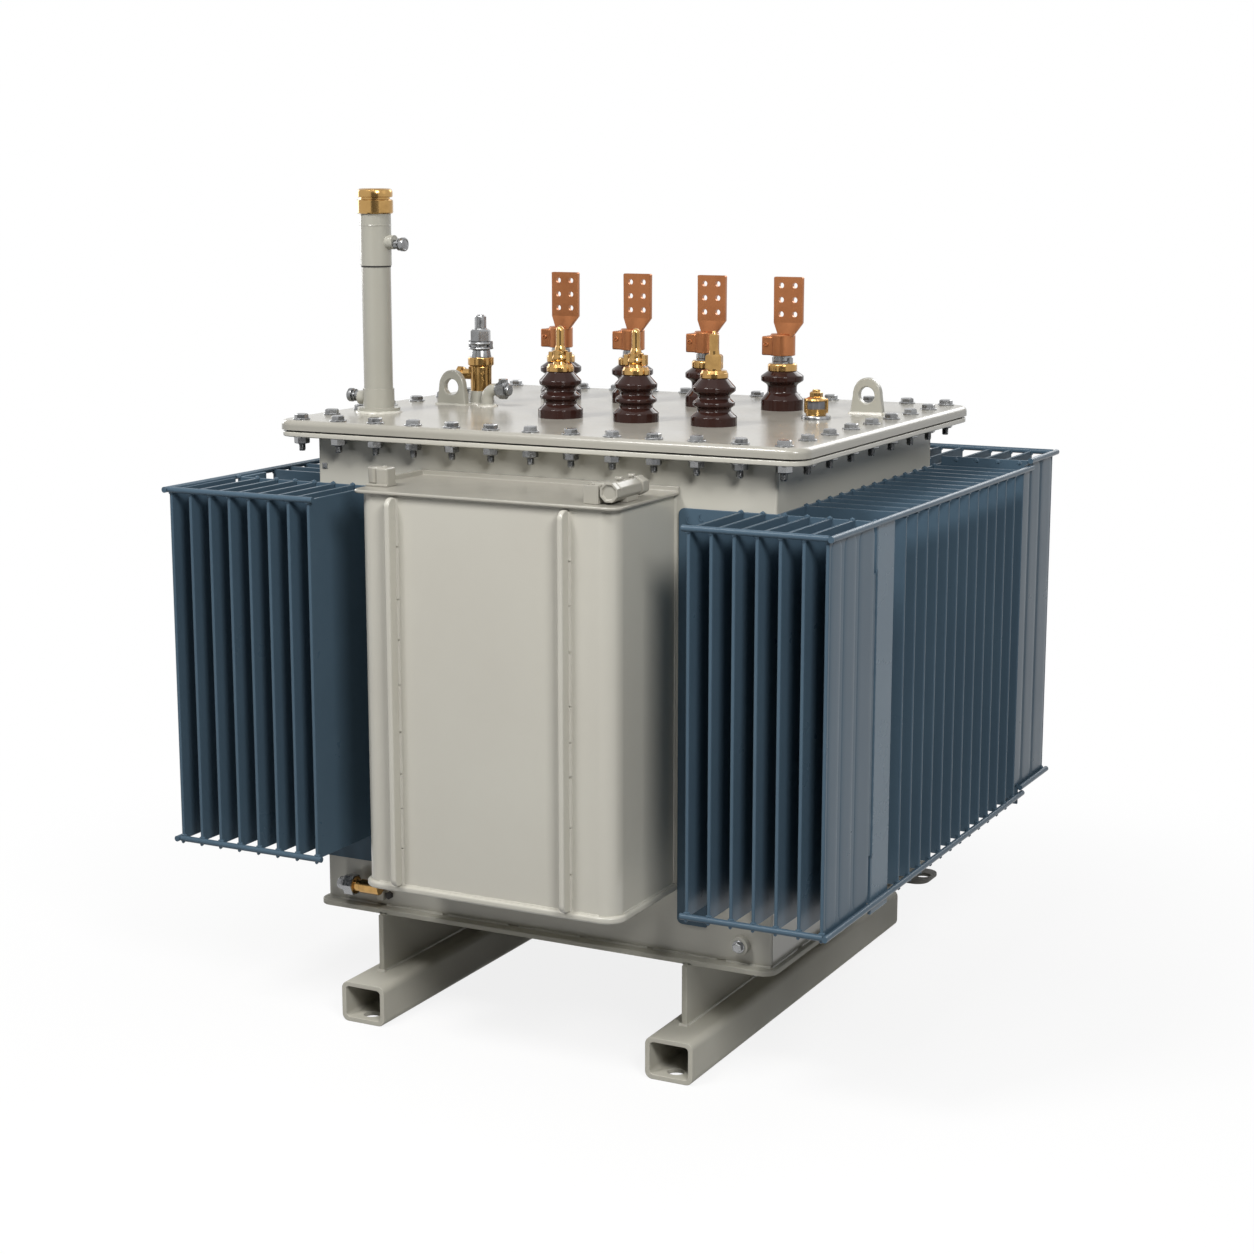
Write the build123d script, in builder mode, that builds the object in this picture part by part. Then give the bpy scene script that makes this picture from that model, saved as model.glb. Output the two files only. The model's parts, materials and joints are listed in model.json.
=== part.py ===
from build123d import *
import os

# An oil-immersed transformer with a bolted lid, plate fins on all four sides, a box on its front
# and bushings on its lid. Millimetres, +Z up. The front, with the box, faces -Y.
# The origin is on the floor, midway between the two skids and under the centre of the tank.

# Skids and the webs that stand on them
skid_gauge = 820.0
skid_width = 120.0
skid_height = 100.0
skid_wall = 12.0
skid_corner_radius = 18.0
skid_bore_corner_radius = 9.0
skid_hole_radius = 20.0
skid_hole_overrun = 72.0
skid_front_overrun = 113.0
skid_rear_overrun = 150.0
web_thickness = 14.0
web_height = 143.0
web_overrun = 12.0
web_offset = -10.0

# Base plate, tank and its flange
tank_length = 1194.0
tank_depth = 976.0
tank_height = 1158.0
tank_wall = 8.0
tank_corner_radius = 5.0
base_plate_side_overhang = 15.0
base_plate_front_overhang = 30.0
base_plate_thickness = 12.0
base_plate_corner_radius = 36.0
base_plate_edge_radius = 3.0
flange_side_width = 84.0
flange_front_width = 56.0
flange_thickness = 12.0

# Lid and the gasket under it
gasket_thickness = 4.0
gasket_inset = 8.0
lid_overhang = 2.0
lid_thickness = 24.0
lid_corner_radius = 46.0
lid_edge_radius = 13.0

# Fin banks: plate fins on back plates, tied by round rods along their outer corners
fin_thickness = 8.0
fin_edge_radius = 3.0
fin_lift = 188.0
fin_head_room = 112.0
header_thickness = 6.0
header_drop = 80.0
header_tab_width = 74.0
header_tab_drop = 115.0
header_corner_radius = 14.0
front_fin_depth = 268.0
side_fin_depth = 237.0
rod_radius = 7.0
rod_overhang = 10.0
weld_gap = 0.3
front_left_fin_count = 8
front_left_fin_pitch = 55.2
front_right_fin_count = 7
front_right_fin_pitch = 52.3
side_fin_count = 13
side_first_fin_inset = 154.0
side_last_fin_gap = 59.0
side_header_overrun = 70.0
rear_bank_lift = 18.0
rear_middle_fin_count = 21
rear_edge_margin = 12.0
rear_outer_fin_count = 4
rear_outer_fin_pitch = 55.2
seam_slot_width = 18.0
seam_slot_height = 110.0
corner_panel_width = 103.0
corner_panel_thickness = 8.0
corner_panel_drop = 28.0

# Box on the front wall
box_width = 648.0
box_offset = 28.0
box_depth = 292.0
box_wall = 6.0
box_corner_radius = 40.0
box_lift = 149.0
box_floor_thickness = 16.0
box_floor_overhang = 9.0
box_floor_edge_radius = 6.0
box_head_room = 84.0
box_lid_thickness = 8.0
box_lid_overhang = 12.0
box_lid_corner_radius = 30.0
box_upstand_height = 12.0
box_upstand_thickness = 8.0
box_side_clearance = 2.0
rib_thickness = 14.0
rib_depth = 32.0
rib_spacing = 435.0
rib_offset = -10.5
rib_end_gap = 4.0
rib_end_radius = 20.0

# Clamp on the left of the box lid, and the latch on its right
clamp_inset = 17.0
clamp_setback = 73.0
clamp_foot_length = 58.0
clamp_foot_depth = 42.0
clamp_foot_height = 16.0
clamp_block_length = 25.0
clamp_block_height = 30.0
clamp_block_radius = 6.0
clamp_nut_radius = 19.0
clamp_nut_height = 27.0
latch_inset = 24.0
latch_setback = 18.0
latch_size = 42.0
latch_radius = 13.0
latch_length = 157.0
latch_lift = 6.0
latch_foot_length = 30.0
latch_block_length = 53.0
latch_block_depth = 24.0
latch_block_height = 41.0
latch_stud_radius = 9.0
latch_stud_height = 8.0
latch_stud_spacing = 58.0

# High-voltage bushings on the lid, in a row towards the front
hv_row_setback = 357.0
hv_pitch = 203.0
hv_offset = 103.0
hv_count = 3
hv_base_radius = 54.0
hv_base_height = 25.0
hv_lower_neck_radius = 33.5
hv_lower_neck_height = 47.0
hv_lower_shed_radius = 47.5
hv_lower_shed_height = 58.0
hv_upper_neck_radius = 31.0
hv_upper_neck_height = 79.0
hv_upper_shed_radius = 51.0
hv_upper_shed_height = 92.0
hv_porcelain_top_radius = 33.0
hv_porcelain_height = 109.0
hv_rounding = 4.0
hv_neck_rounding = 9.0
hv_tip_rounding = 2.5
hv_collar_radius = 33.0
hv_collar_height = 20.0
hv_nut_radius = 22.0
hv_nut_height = 32.0
hv_stud_radius = 10.0
hv_stud_length = 58.0
hv_stud_tip = 4.0

# Low-voltage bushings on the lid, in a row towards the rear, each with a copper flag
lv_row_setback = 322.0
lv_pitch = 208.0
lv_offset = -12.0
lv_count = 4
lv_base_radius = 52.5
lv_base_height = 26.0
lv_neck_radius = 36.5
lv_neck_low_height = 44.0
lv_neck_high_height = 62.0
lv_shed_radius = 53.0
lv_shed_low_height = 72.0
lv_shed_high_height = 84.0
lv_top_radius = 37.0
lv_porcelain_height = 95.0
lv_rounding = 4.0
lv_neck_rounding = 10.0
lv_tip_rounding = 5.0
lv_collar_radius = 36.5
lv_collar_height = 20.0
lv_stem_radius = 26.5
lv_stem_height = 19.0
flag_clamp_length = 77.0
flag_clamp_offset = -7.5
flag_clamp_depth = 52.0
flag_clamp_height = 54.0
flag_clamp_slot = 4.0
flag_clamp_slit = 22.0
flag_clamp_radius = 5.0
flag_neck_length = 36.0
flag_neck_offset = 13.0
flag_neck_height = 26.0
flag_width = 76.0
flag_height = 112.0
flag_thickness = 12.0
flag_offset = 15.0
flag_corner_radius = 4.0
flag_hole_radius = 7.0
flag_hole_pitch_across = 36.0
flag_hole_pitch_up = 35.0
flag_hole_top_margin = 21.0
flag_hole_columns = 2
flag_hole_rows = 3

# Filling pipe on the lid's left
pipe_inset = 126.0
pipe_setback = 264.0
pipe_flange_radius = 52.5
pipe_flange_height = 12.0
pipe_collar_radius = 38.5
pipe_collar_height = 58.0
pipe_radius = 35.5
pipe_bore_radius = 30.0
pipe_sleeve_radius = 38.0
pipe_sleeve_start = 356.0
pipe_height = 480.0
pipe_socket_radius = 17.0
pipe_socket_length = 16.0
pipe_upper_socket_height = 412.0
pipe_lower_socket_height = 34.0
pipe_plug_radius = 17.0
pipe_plug_length = 14.0
pipe_plug_head_radius = 11.0
pipe_plug_head_length = 10.0
pipe_cap_radius = 44.5
pipe_cap_rim_height = 26.0
pipe_cap_groove_radius = 36.5
pipe_cap_groove_height = 8.0
pipe_cap_top_height = 26.0
pipe_cap_rounding = 4.0

# Lifting lugs on the lid
lug_width = 85.0
lug_height = 88.0
lug_thickness = 20.0
lug_hole_radius = 20.0
lug_left_inset = 193.0
lug_left_row_gap = 266.0
lug_right_inset = 156.0
lug_right_setback = 769.0

# Valve, elbow and relief fitting on the lid
valve_inset = 242.0
valve_row_gap = 209.0
valve_collar_radius = 34.0
valve_collar_top_radius = 29.5
valve_collar_height = 34.0
valve_body_radius = 26.0
valve_body_height = 66.0
valve_rim_radius = 33.0
valve_rim_height = 18.0
valve_arm_radius = 12.0
valve_arm_length = 62.0
valve_arm_height = 34.0
valve_stem_base_radius = 27.0
valve_stem_base_height = 24.0
valve_ring_radius = 32.5
valve_ring_height = 17.0
valve_hex_radius = 26.0
valve_hex_height = 31.0
valve_stem_radius = 15.0
valve_stem_height = 35.0
elbow_gap = 7.0
elbow_turn = 45.0
elbow_tube_radius = 15.0
elbow_bend_radius = 22.0
elbow_riser = 20.0
elbow_flange_radius = 22.0
elbow_flange_height = 6.0
elbow_run = 6.0
union_radius = 23.0
union_length = 26.0
union_nose_radius = 15.0
union_nose_length = 12.0
relief_inset = 220.0
relief_setback = 597.0
relief_base_radius = 35.0
relief_base_height = 9.0
relief_cup_radius = 29.0
relief_cup_height = 16.0
relief_glass_radius = 23.0
relief_glass_height = 20.0
relief_crown_radius = 28.0
relief_crown_height = 11.0
relief_knob_radius = 15.0
relief_knob_height = 14.0
relief_rounding = 2.0

# Low on the tank: drain valve, earthing boss, towing lugs
drain_height = 53.0
drain_reach = 36.0
drain_inset = 157.0
drain_body_radius = 17.0
drain_body_length = 56.0
drain_nut_radius = 22.0
drain_nut_length = 12.0
drain_cap_radius = 25.0
drain_cap_length = 20.0
drain_tip_radius = 13.0
drain_tip_length = 14.0
earth_inset = 73.0
earth_height = 45.0
earth_radius = 22.0
earth_length = 18.0
earth_hole_radius = 6.0
towing_length = 64.0
towing_width = 120.0
towing_corner_radius = 34.0
towing_hole_radius = 18.0
towing_hole_reach = 38.0
towing_inset = 128.0

# Heights and faces that follow from the sizes above
half_share = 0.5
skid_x = skid_gauge * half_share
tank_x = tank_length * half_share
tank_y = tank_depth * half_share
base_plate_x = tank_x + base_plate_side_overhang
base_plate_y = tank_y + base_plate_front_overhang
base_plate_bottom = skid_height + web_height
base_plate_top = base_plate_bottom + base_plate_thickness
tank_top = base_plate_top + tank_height
flange_bottom = tank_top - flange_thickness
lid_bottom = tank_top + gasket_thickness
lid_top = lid_bottom + lid_thickness
flange_x = tank_x + flange_side_width
flange_y = tank_y + flange_front_width
lid_x = flange_x + lid_overhang
lid_y = flange_y + lid_overhang
fin_bottom = base_plate_top + fin_lift
fin_top = flange_bottom - fin_head_room
fin_height = fin_top - fin_bottom
rear_fin_bottom = fin_bottom + rear_bank_lift
rear_fin_top = fin_top + rear_bank_lift
header_x = tank_x + header_thickness
header_y = tank_y + header_thickness
front_fin_y = header_y + front_fin_depth
side_fin_x = header_x + side_fin_depth
rod_seat = rod_radius + weld_gap
corner_x = side_fin_x - rod_seat
outer_fin_x = corner_x - fin_thickness * half_share
end_plate_y = tank_y + side_header_overrun
box_left = box_offset - box_width * half_share
box_right = box_offset + box_width * half_share
box_front = tank_y + box_depth
box_floor_bottom = base_plate_top + box_lift
box_floor_top = box_floor_bottom + box_floor_thickness
box_top = flange_bottom - box_head_room
box_height = box_top - box_floor_top
box_lid_top = box_top + box_lid_thickness


def middle(span):
    return (span[0] + span[1]) * half_share


def size(span):
    return span[1] - span[0]


def finish(piece, name):
    piece.part.label = name
    export_step(piece.part, f"parts/{name}.step")


def slab(name, x_spans, y_spans, z_span):
    """Plain plates of one thickness, one for each pair of spans, as one sub-part."""
    with BuildPart() as piece:
        with BuildSketch(Plane.XY.offset(z_span[0])):
            for x_span, y_span in zip(x_spans, y_spans):
                with Locations((middle(x_span), middle(y_span))):
                    Rectangle(size(x_span), size(y_span))
        extrude(amount=size(z_span))
    finish(piece, name)
    return piece


def upright_plane(place, height):
    """A plane that stands on a place, with its first axis along X and its second up."""
    return Plane(origin=(place[0], place[1], height), x_dir=(1, 0, 0), z_dir=(0, -1, 0))


def turned(place, height, points, roundings):
    """A turned piece about a vertical axis: points are radius and height, each with its rounding."""
    with BuildPart() as piece:
        with BuildSketch(upright_plane(place, height)) as outline:
            with BuildLine():
                Polyline(*points, close=True)
            make_face()
            for point, rounding in zip(points, roundings):
                if rounding:
                    fillet(outline.vertices().sort_by_distance(Vector(*point))[0], rounding)
        revolve(axis=Axis((place[0], place[1], height), (0, 0, 1)))
    return piece


os.makedirs("parts", exist_ok=True)

# Skids: rectangular tubes, open at both ends, with a pin hole through the bottom wall near each end
for side, name in ((-1, "skid_left"), (1, "skid_right")):
    with BuildPart() as skid:
        with BuildSketch(Plane.XZ):
            with Locations((side * skid_x, skid_height * half_share)):
                RectangleRounded(skid_width, skid_height, skid_corner_radius)
                RectangleRounded(skid_width - 2 * skid_wall, skid_height - 2 * skid_wall,
                                 skid_bore_corner_radius, mode=Mode.SUBTRACT)
        extrude(amount=base_plate_y + skid_front_overrun)
        extrude(skid.faces().sort_by(Axis.Y)[-1], amount=base_plate_y + skid_rear_overrun)
        with BuildSketch(Plane.XY):
            with Locations((side * skid_x, 0)):
                with GridLocations(0, 2 * (base_plate_y + skid_hole_overrun), 1, 2):
                    Circle(skid_hole_radius)
        extrude(amount=skid_wall, mode=Mode.SUBTRACT)
    finish(skid, name)

web_half = web_thickness * half_share
slab("skid_webs",
     [(side * skid_x + web_offset - web_half, side * skid_x + web_offset + web_half) for side in (-1, 1)],
     [(-base_plate_y - web_overrun, base_plate_y + web_overrun)] * 2,
     (skid_height, base_plate_bottom))

# Base plate: the floor of the tank
with BuildPart() as base_plate:
    with BuildSketch(Plane.XY.offset(base_plate_bottom)):
        RectangleRounded(2 * base_plate_x, 2 * base_plate_y, base_plate_corner_radius)
    extrude(amount=base_plate_thickness)
    fillet(base_plate.faces().sort_by(Axis.Z)[-1].outer_wire().edges(), base_plate_edge_radius)
finish(base_plate, "base_plate")

# Tank walls: front and rear sheets run the full length, the side sheets fit between them
for side, name in ((-1, "tank_front_wall"), (1, "tank_rear_wall")):
    with BuildPart() as wall:
        with BuildSketch(Plane.XY.offset(base_plate_top)) as sheet:
            with Locations((0, side * (tank_y - tank_wall * half_share))):
                Rectangle(tank_length, tank_wall)
            outer_corners = sheet.vertices().group_by(Axis.Y)[0 if side < 0 else -1]
            fillet(outer_corners, tank_corner_radius)
        extrude(amount=tank_height)
    finish(wall, name)
for side, name in ((-1, "tank_left_wall"), (1, "tank_right_wall")):
    faces = sorted((side * tank_x, side * (tank_x - tank_wall)))
    slab(name, [faces], [(tank_wall - tank_y, tank_y - tank_wall)], (base_plate_top, tank_top))

# Flange: bars around the tank's mouth, flush with its top
flange_span = (flange_bottom, tank_top)
with BuildPart() as flange_long_bars:
    with BuildSketch(Plane.XY.offset(flange_bottom)):
        RectangleRounded(2 * flange_x, 2 * flange_y, lid_corner_radius)
        Rectangle(2 * flange_x, tank_depth, mode=Mode.SUBTRACT)
    extrude(amount=flange_thickness)
finish(flange_long_bars, "tank_flange_long_bars")
slab("tank_flange_short_bars", [(-flange_x, -tank_x), (tank_x, flange_x)],
     [(-tank_y, tank_y)] * 2, flange_span)

# Gasket and lid
with BuildPart() as lid_gasket:
    with BuildSketch(Plane.XY.offset(tank_top)):
        RectangleRounded(2 * (flange_x - gasket_inset), 2 * (flange_y - gasket_inset),
                         lid_corner_radius - gasket_inset)
        Rectangle(tank_length - 2 * tank_wall, tank_depth - 2 * tank_wall, mode=Mode.SUBTRACT)
    extrude(amount=gasket_thickness)
finish(lid_gasket, "lid_gasket")

with BuildPart() as lid:
    with BuildSketch(Plane.XY.offset(lid_bottom)):
        RectangleRounded(2 * lid_x, 2 * lid_y, lid_corner_radius)
    extrude(amount=lid_thickness)
    fillet(lid.faces().sort_by(Axis.Z)[-1].outer_wire().edges(), lid_edge_radius)
finish(lid, "lid")

# Front fin banks: a back plate on the wall that reaches past the tank's corner, and its fins,
# the outermost with a slot at the top and bottom of its seam. The left plate's foot runs from behind
# the box to the tank's corner, and the right plate's foot is a narrow tab beside the box.
front_left_fins_x = [-outer_fin_x + front_left_fin_pitch * i for i in range(front_left_fin_count)]
front_right_fins_x = [outer_fin_x - front_right_fin_pitch * i for i in range(front_right_fin_count)]
box_room = box_floor_overhang + box_side_clearance
front_header_spans = ((-corner_x, box_left - box_room), (box_right + box_room, corner_x))
tab_end_x = box_right + box_room + header_tab_width
front_header_feet = ((-tank_x, fin_bottom - header_drop), (tab_end_x, fin_bottom - header_tab_drop))
front_header_names = ("front_left_header", "front_right_header")
for x_span, (step_x, foot_z), name in zip(front_header_spans, front_header_feet, front_header_names):
    inner_x = min(x_span, key=abs)
    outer_x = max(x_span, key=abs)
    with BuildPart() as header:
        with BuildSketch(upright_plane((0, -tank_y), 0)) as outline:
            with BuildLine():
                Polyline((inner_x, foot_z), (inner_x, fin_top), (outer_x, fin_top), (outer_x, fin_bottom),
                         (step_x, fin_bottom), (step_x, foot_z), close=True)
            make_face()
            inner_corners = outline.vertices().filter_by_position(Axis.X, inner_x, inner_x)
            fillet(inner_corners, header_corner_radius)
        extrude(amount=header_thickness)
    finish(header, name)

for places, name in ((front_left_fins_x, "front_left_fins"), (front_right_fins_x, "front_right_fins")):
    with BuildPart() as fins:
        with BuildSketch(Plane.XY.offset(fin_bottom)) as plan:
            with Locations(*[(x, -header_y - front_fin_depth * half_share) for x in places]):
                Rectangle(fin_thickness, front_fin_depth)
            fillet(plan.vertices().group_by(Axis.Y)[0], fin_edge_radius)
        extrude(amount=fin_height)
        for notch_bottom in (fin_bottom, fin_top - rod_seat):
            with BuildSketch(Plane.XY.offset(notch_bottom)):
                with Locations((middle((places[0], places[-1])), -front_fin_y + rod_seat * half_share)):
                    Rectangle(abs(places[-1] - places[0]) + fin_thickness, rod_seat)
            extrude(amount=rod_seat, mode=Mode.SUBTRACT)
        for slot_bottom in (fin_bottom, fin_top - seam_slot_height):
            with BuildSketch(Plane.XY.offset(slot_bottom)):
                with Locations((places[0], -header_y - seam_slot_width * half_share)):
                    Rectangle(fin_thickness, seam_slot_width)
            extrude(amount=seam_slot_height, mode=Mode.SUBTRACT)
    finish(fins, name)

# Side fin banks: a back plate on the side wall that runs past the rear wall, and its fins
side_first_fin_y = side_first_fin_inset - tank_y
side_last_fin_y = end_plate_y - side_last_fin_gap
side_fin_pitch = (side_last_fin_y - side_first_fin_y) / (side_fin_count - 1)
side_fins_y = [side_first_fin_y + side_fin_pitch * i for i in range(side_fin_count)]
right_side_header = slab("right_side_header", [(tank_x, header_x)], [(-tank_y, end_plate_y)],
                         (fin_bottom, fin_top))
with BuildPart() as left_side_header:
    mirror(right_side_header.part, about=Plane.YZ)
finish(left_side_header, "left_side_header")

with BuildPart() as right_side_fins:
    with BuildSketch(Plane.XY.offset(fin_bottom)) as plan:
        with Locations(*[(header_x + side_fin_depth * half_share, y) for y in side_fins_y]):
            Rectangle(side_fin_depth, fin_thickness)
        fillet(plan.vertices().group_by(Axis.X)[-1], fin_edge_radius)
    extrude(amount=fin_height)
    for notch_bottom in (fin_bottom, fin_top - rod_seat):
        with BuildSketch(Plane.XY.offset(notch_bottom)):
            with Locations((side_fin_x - rod_seat * half_share, middle((side_fins_y[0], side_fins_y[-1])))):
                Rectangle(rod_seat, side_fins_y[-1] - side_fins_y[0] + fin_thickness)
        extrude(amount=rod_seat, mode=Mode.SUBTRACT)
finish(right_side_fins, "right_side_fins")
with BuildPart() as left_side_fins:
    mirror(right_side_fins.part, about=Plane.YZ)
finish(left_side_fins, "left_side_fins")

# Corner plates: a flat panel behind each front corner, and an end plate that carries the outer rear fins
panel_bottom = fin_bottom - corner_panel_drop
panel_spans = [sorted((side * corner_x, side * (corner_x - corner_panel_thickness))) for side in (-1, 1)]
slab("corner_panels", panel_spans, [(-tank_y, corner_panel_width - tank_y)] * 2, (panel_bottom, fin_top))
end_spans = [sorted((side * header_x, side * corner_x)) for side in (-1, 1)]
slab("side_end_plates", end_spans, [(end_plate_y - header_thickness, end_plate_y)] * 2,
     (panel_bottom, rear_fin_top))

# Rear fin bank: middle fins on the rear wall's back plate, outer fins on the side end plates
slab("rear_header", [(-tank_x, tank_x)], [(tank_y, header_y)], (rear_fin_bottom, rear_fin_top))
rear_middle_reach = tank_x - rear_edge_margin
rear_middle_pitch = 2 * rear_middle_reach / (rear_middle_fin_count - 1)
rear_outer_depth = front_fin_y - end_plate_y
with BuildPart() as rear_fins:
    with BuildSketch(Plane.XY.offset(rear_fin_bottom)) as plan:
        with Locations((0, header_y + front_fin_depth * half_share)):
            with GridLocations(rear_middle_pitch, 0, rear_middle_fin_count, 1):
                Rectangle(fin_thickness, front_fin_depth)
        for side in (-1, 1):
            outer_places = [side * (outer_fin_x - rear_outer_fin_pitch * i) for i in range(rear_outer_fin_count)]
            with Locations(*[(x, end_plate_y + rear_outer_depth * half_share) for x in outer_places]):
                Rectangle(fin_thickness, rear_outer_depth)
        fillet(plan.vertices().group_by(Axis.Y)[-1], fin_edge_radius)
    extrude(amount=fin_height)
    for notch_bottom in (rear_fin_bottom, rear_fin_top - rod_seat):
        with BuildSketch(Plane.XY.offset(notch_bottom)):
            with Locations((0, front_fin_y - rod_seat * half_share)):
                Rectangle(2 * corner_x, rod_seat)
        extrude(amount=rod_seat, mode=Mode.SUBTRACT)
finish(rear_fins, "rear_fins")

# Rods: round bars in the notches along every bank's outer top and bottom corners
left_rod_span = (-corner_x, front_left_fins_x[-1] + fin_thickness * half_share + rod_overhang)
right_rod_span = (front_right_fins_x[-1] - fin_thickness * half_share - rod_overhang, corner_x)
side_rod_span = (-front_fin_y - rod_overhang, end_plate_y + rod_overhang)
short_rod_span = (end_plate_y - rod_overhang, front_fin_y + rod_overhang)
for height, rear_height, name in ((fin_top, rear_fin_top, "fin_rods_top"),
                                  (fin_bottom, rear_fin_bottom, "fin_rods_bottom")):
    with BuildPart() as rods:
        rods_along_x = ((left_rod_span, -front_fin_y, height), (right_rod_span, -front_fin_y, height),
                        ((-corner_x, corner_x), front_fin_y, rear_height))
        for x_span, y, z in rods_along_x:
            with BuildSketch(Plane.YZ.offset(x_span[0])):
                with Locations((y, z)):
                    Circle(rod_radius)
            extrude(amount=size(x_span))
        for y_span, z in ((side_rod_span, height), (short_rod_span, rear_height)):
            with BuildSketch(Plane.XZ.offset(-y_span[0])):
                with Locations((-side_fin_x, z), (side_fin_x, z)):
                    Circle(rod_radius)
            extrude(amount=-size(y_span))
    finish(rods, name)

# Front box: a bent shell with rounded front corners, a floor plate, a lid and two ribs
with BuildPart() as box_shell:
    with BuildSketch(Plane.XY.offset(box_floor_top)) as plan:
        with Locations((box_offset, -tank_y - box_depth * half_share)):
            Rectangle(box_width, box_depth)
        fillet(plan.vertices().group_by(Axis.Y)[0], box_corner_radius)
    extrude(amount=box_height)
    with BuildSketch(Plane.XY.offset(box_floor_top)) as hollow:
        with Locations((box_offset, -tank_y - (box_depth - box_wall) * half_share)):
            Rectangle(box_width - 2 * box_wall, box_depth - box_wall)
        fillet(hollow.vertices().group_by(Axis.Y)[0], box_corner_radius - box_wall)
    extrude(amount=box_height, mode=Mode.SUBTRACT)
finish(box_shell, "box_shell")

with BuildPart() as box_floor:
    floor_depth = box_depth + box_floor_overhang
    with BuildSketch(Plane.XY.offset(box_floor_bottom)) as plan:
        with Locations((box_offset, -tank_y - floor_depth * half_share)):
            Rectangle(box_width + 2 * box_floor_overhang, floor_depth)
        fillet(plan.vertices().group_by(Axis.Y)[0], box_corner_radius + box_floor_overhang)
    extrude(amount=box_floor_thickness)
    rim = box_floor.edges().filter_by(Plane.XY).filter_by(lambda e: e.center().Y < -tank_y)
    fillet(rim, box_floor_edge_radius)
finish(box_floor, "box_floor")

with BuildPart() as box_lid:
    lid_depth = box_depth + box_lid_overhang
    lid_width = box_width + 2 * box_lid_overhang
    with BuildSketch(Plane.XY.offset(box_top)) as plan:
        with Locations((box_offset, -tank_y - lid_depth * half_share)):
            Rectangle(lid_width, lid_depth)
        fillet(plan.vertices().group_by(Axis.Y)[0], box_lid_corner_radius)
    extrude(amount=box_lid_thickness)
    with BuildSketch(Plane.XY.offset(box_lid_top)):
        with Locations((box_offset, -tank_y - box_upstand_thickness * half_share)):
            Rectangle(lid_width, box_upstand_thickness)
        left_upstand_depth = box_depth - clamp_setback - clamp_foot_depth
        left_upstand_x = box_left - box_lid_overhang + box_upstand_thickness * half_share
        with Locations((left_upstand_x, -tank_y - left_upstand_depth * half_share)):
            Rectangle(box_upstand_thickness, left_upstand_depth)
    extrude(amount=box_upstand_height)
finish(box_lid, "box_lid")

with BuildPart() as box_ribs:
    rib_span = (box_floor_top, box_top - rib_end_gap)
    rib_centre = box_offset + rib_offset
    with BuildSketch(Plane.YZ.offset(rib_centre)) as outline:
        with Locations((-box_front - rib_depth * half_share, middle(rib_span))):
            Rectangle(rib_depth, size(rib_span))
        fillet(outline.vertices().group_by(Axis.X)[0], rib_end_radius)
    extrude(amount=(rib_spacing + rib_thickness) * half_share, both=True)
    with BuildSketch(Plane.XY.offset(box_floor_top)):
        with Locations((rib_centre, -box_front - rib_depth * half_share)):
            Rectangle(rib_spacing - rib_thickness, rib_depth)
    extrude(amount=size(rib_span), mode=Mode.SUBTRACT)
finish(box_ribs, "box_ribs")

# Clamp on the box lid's left: a foot with a rounded block and a six-sided nut
clamp_place = (box_left + clamp_inset, -box_front + clamp_setback)
with BuildPart() as box_clamp:
    with BuildSketch(Plane.XY.offset(box_lid_top)):
        with Locations(clamp_place):
            Rectangle(clamp_foot_length, clamp_foot_depth)
    extrude(amount=clamp_foot_height)
    with BuildSketch(Plane.XY.offset(box_lid_top + clamp_foot_height)):
        with Locations((clamp_place[0] + (clamp_foot_length - clamp_block_length) * half_share, clamp_place[1])):
            RectangleRounded(clamp_block_length, clamp_foot_depth, clamp_block_radius)
    extrude(amount=clamp_block_height)
    with BuildSketch(Plane.XY.offset(box_lid_top + clamp_foot_height)):
        with Locations((clamp_place[0] - clamp_foot_length * half_share + clamp_nut_radius, clamp_place[1])):
            RegularPolygon(clamp_nut_radius, 6)
    extrude(amount=clamp_nut_height)
finish(box_clamp, "box_clamp")

# Latch on the box lid's right: a rounded barrel on two feet, a block at its front and two studs on top
latch_x = box_right - latch_inset
latch_front = -box_front + latch_setback
latch_middle = latch_front + latch_length * half_share
latch_bottom = box_lid_top + latch_lift
with BuildPart() as box_latch:
    with BuildSketch(upright_plane((latch_x, latch_front), latch_bottom + latch_size * half_share)):
        RectangleRounded(latch_size, latch_size, latch_radius)
    extrude(amount=-latch_length)
    with BuildSketch(Plane.XY.offset(box_lid_top)):
        with Locations((latch_x, latch_middle)):
            with GridLocations(0, latch_length - latch_foot_length, 1, 2):
                Rectangle(latch_size - 2 * latch_radius, latch_foot_length)
    extrude(amount=latch_lift)
    with BuildSketch(Plane.XY.offset(box_lid_top)):
        with Locations((latch_x - (latch_size + latch_block_length) * half_share + latch_radius,
                        latch_front + latch_block_depth * half_share)):
            Rectangle(latch_block_length, latch_block_depth)
    extrude(amount=latch_block_height)
    with BuildSketch(Plane.XY.offset(latch_bottom + latch_size)):
        with Locations((latch_x, latch_middle)):
            with GridLocations(0, latch_stud_spacing, 1, 2):
                Circle(latch_stud_radius)
    extrude(amount=latch_stud_height)
finish(box_latch, "box_latch")

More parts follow.
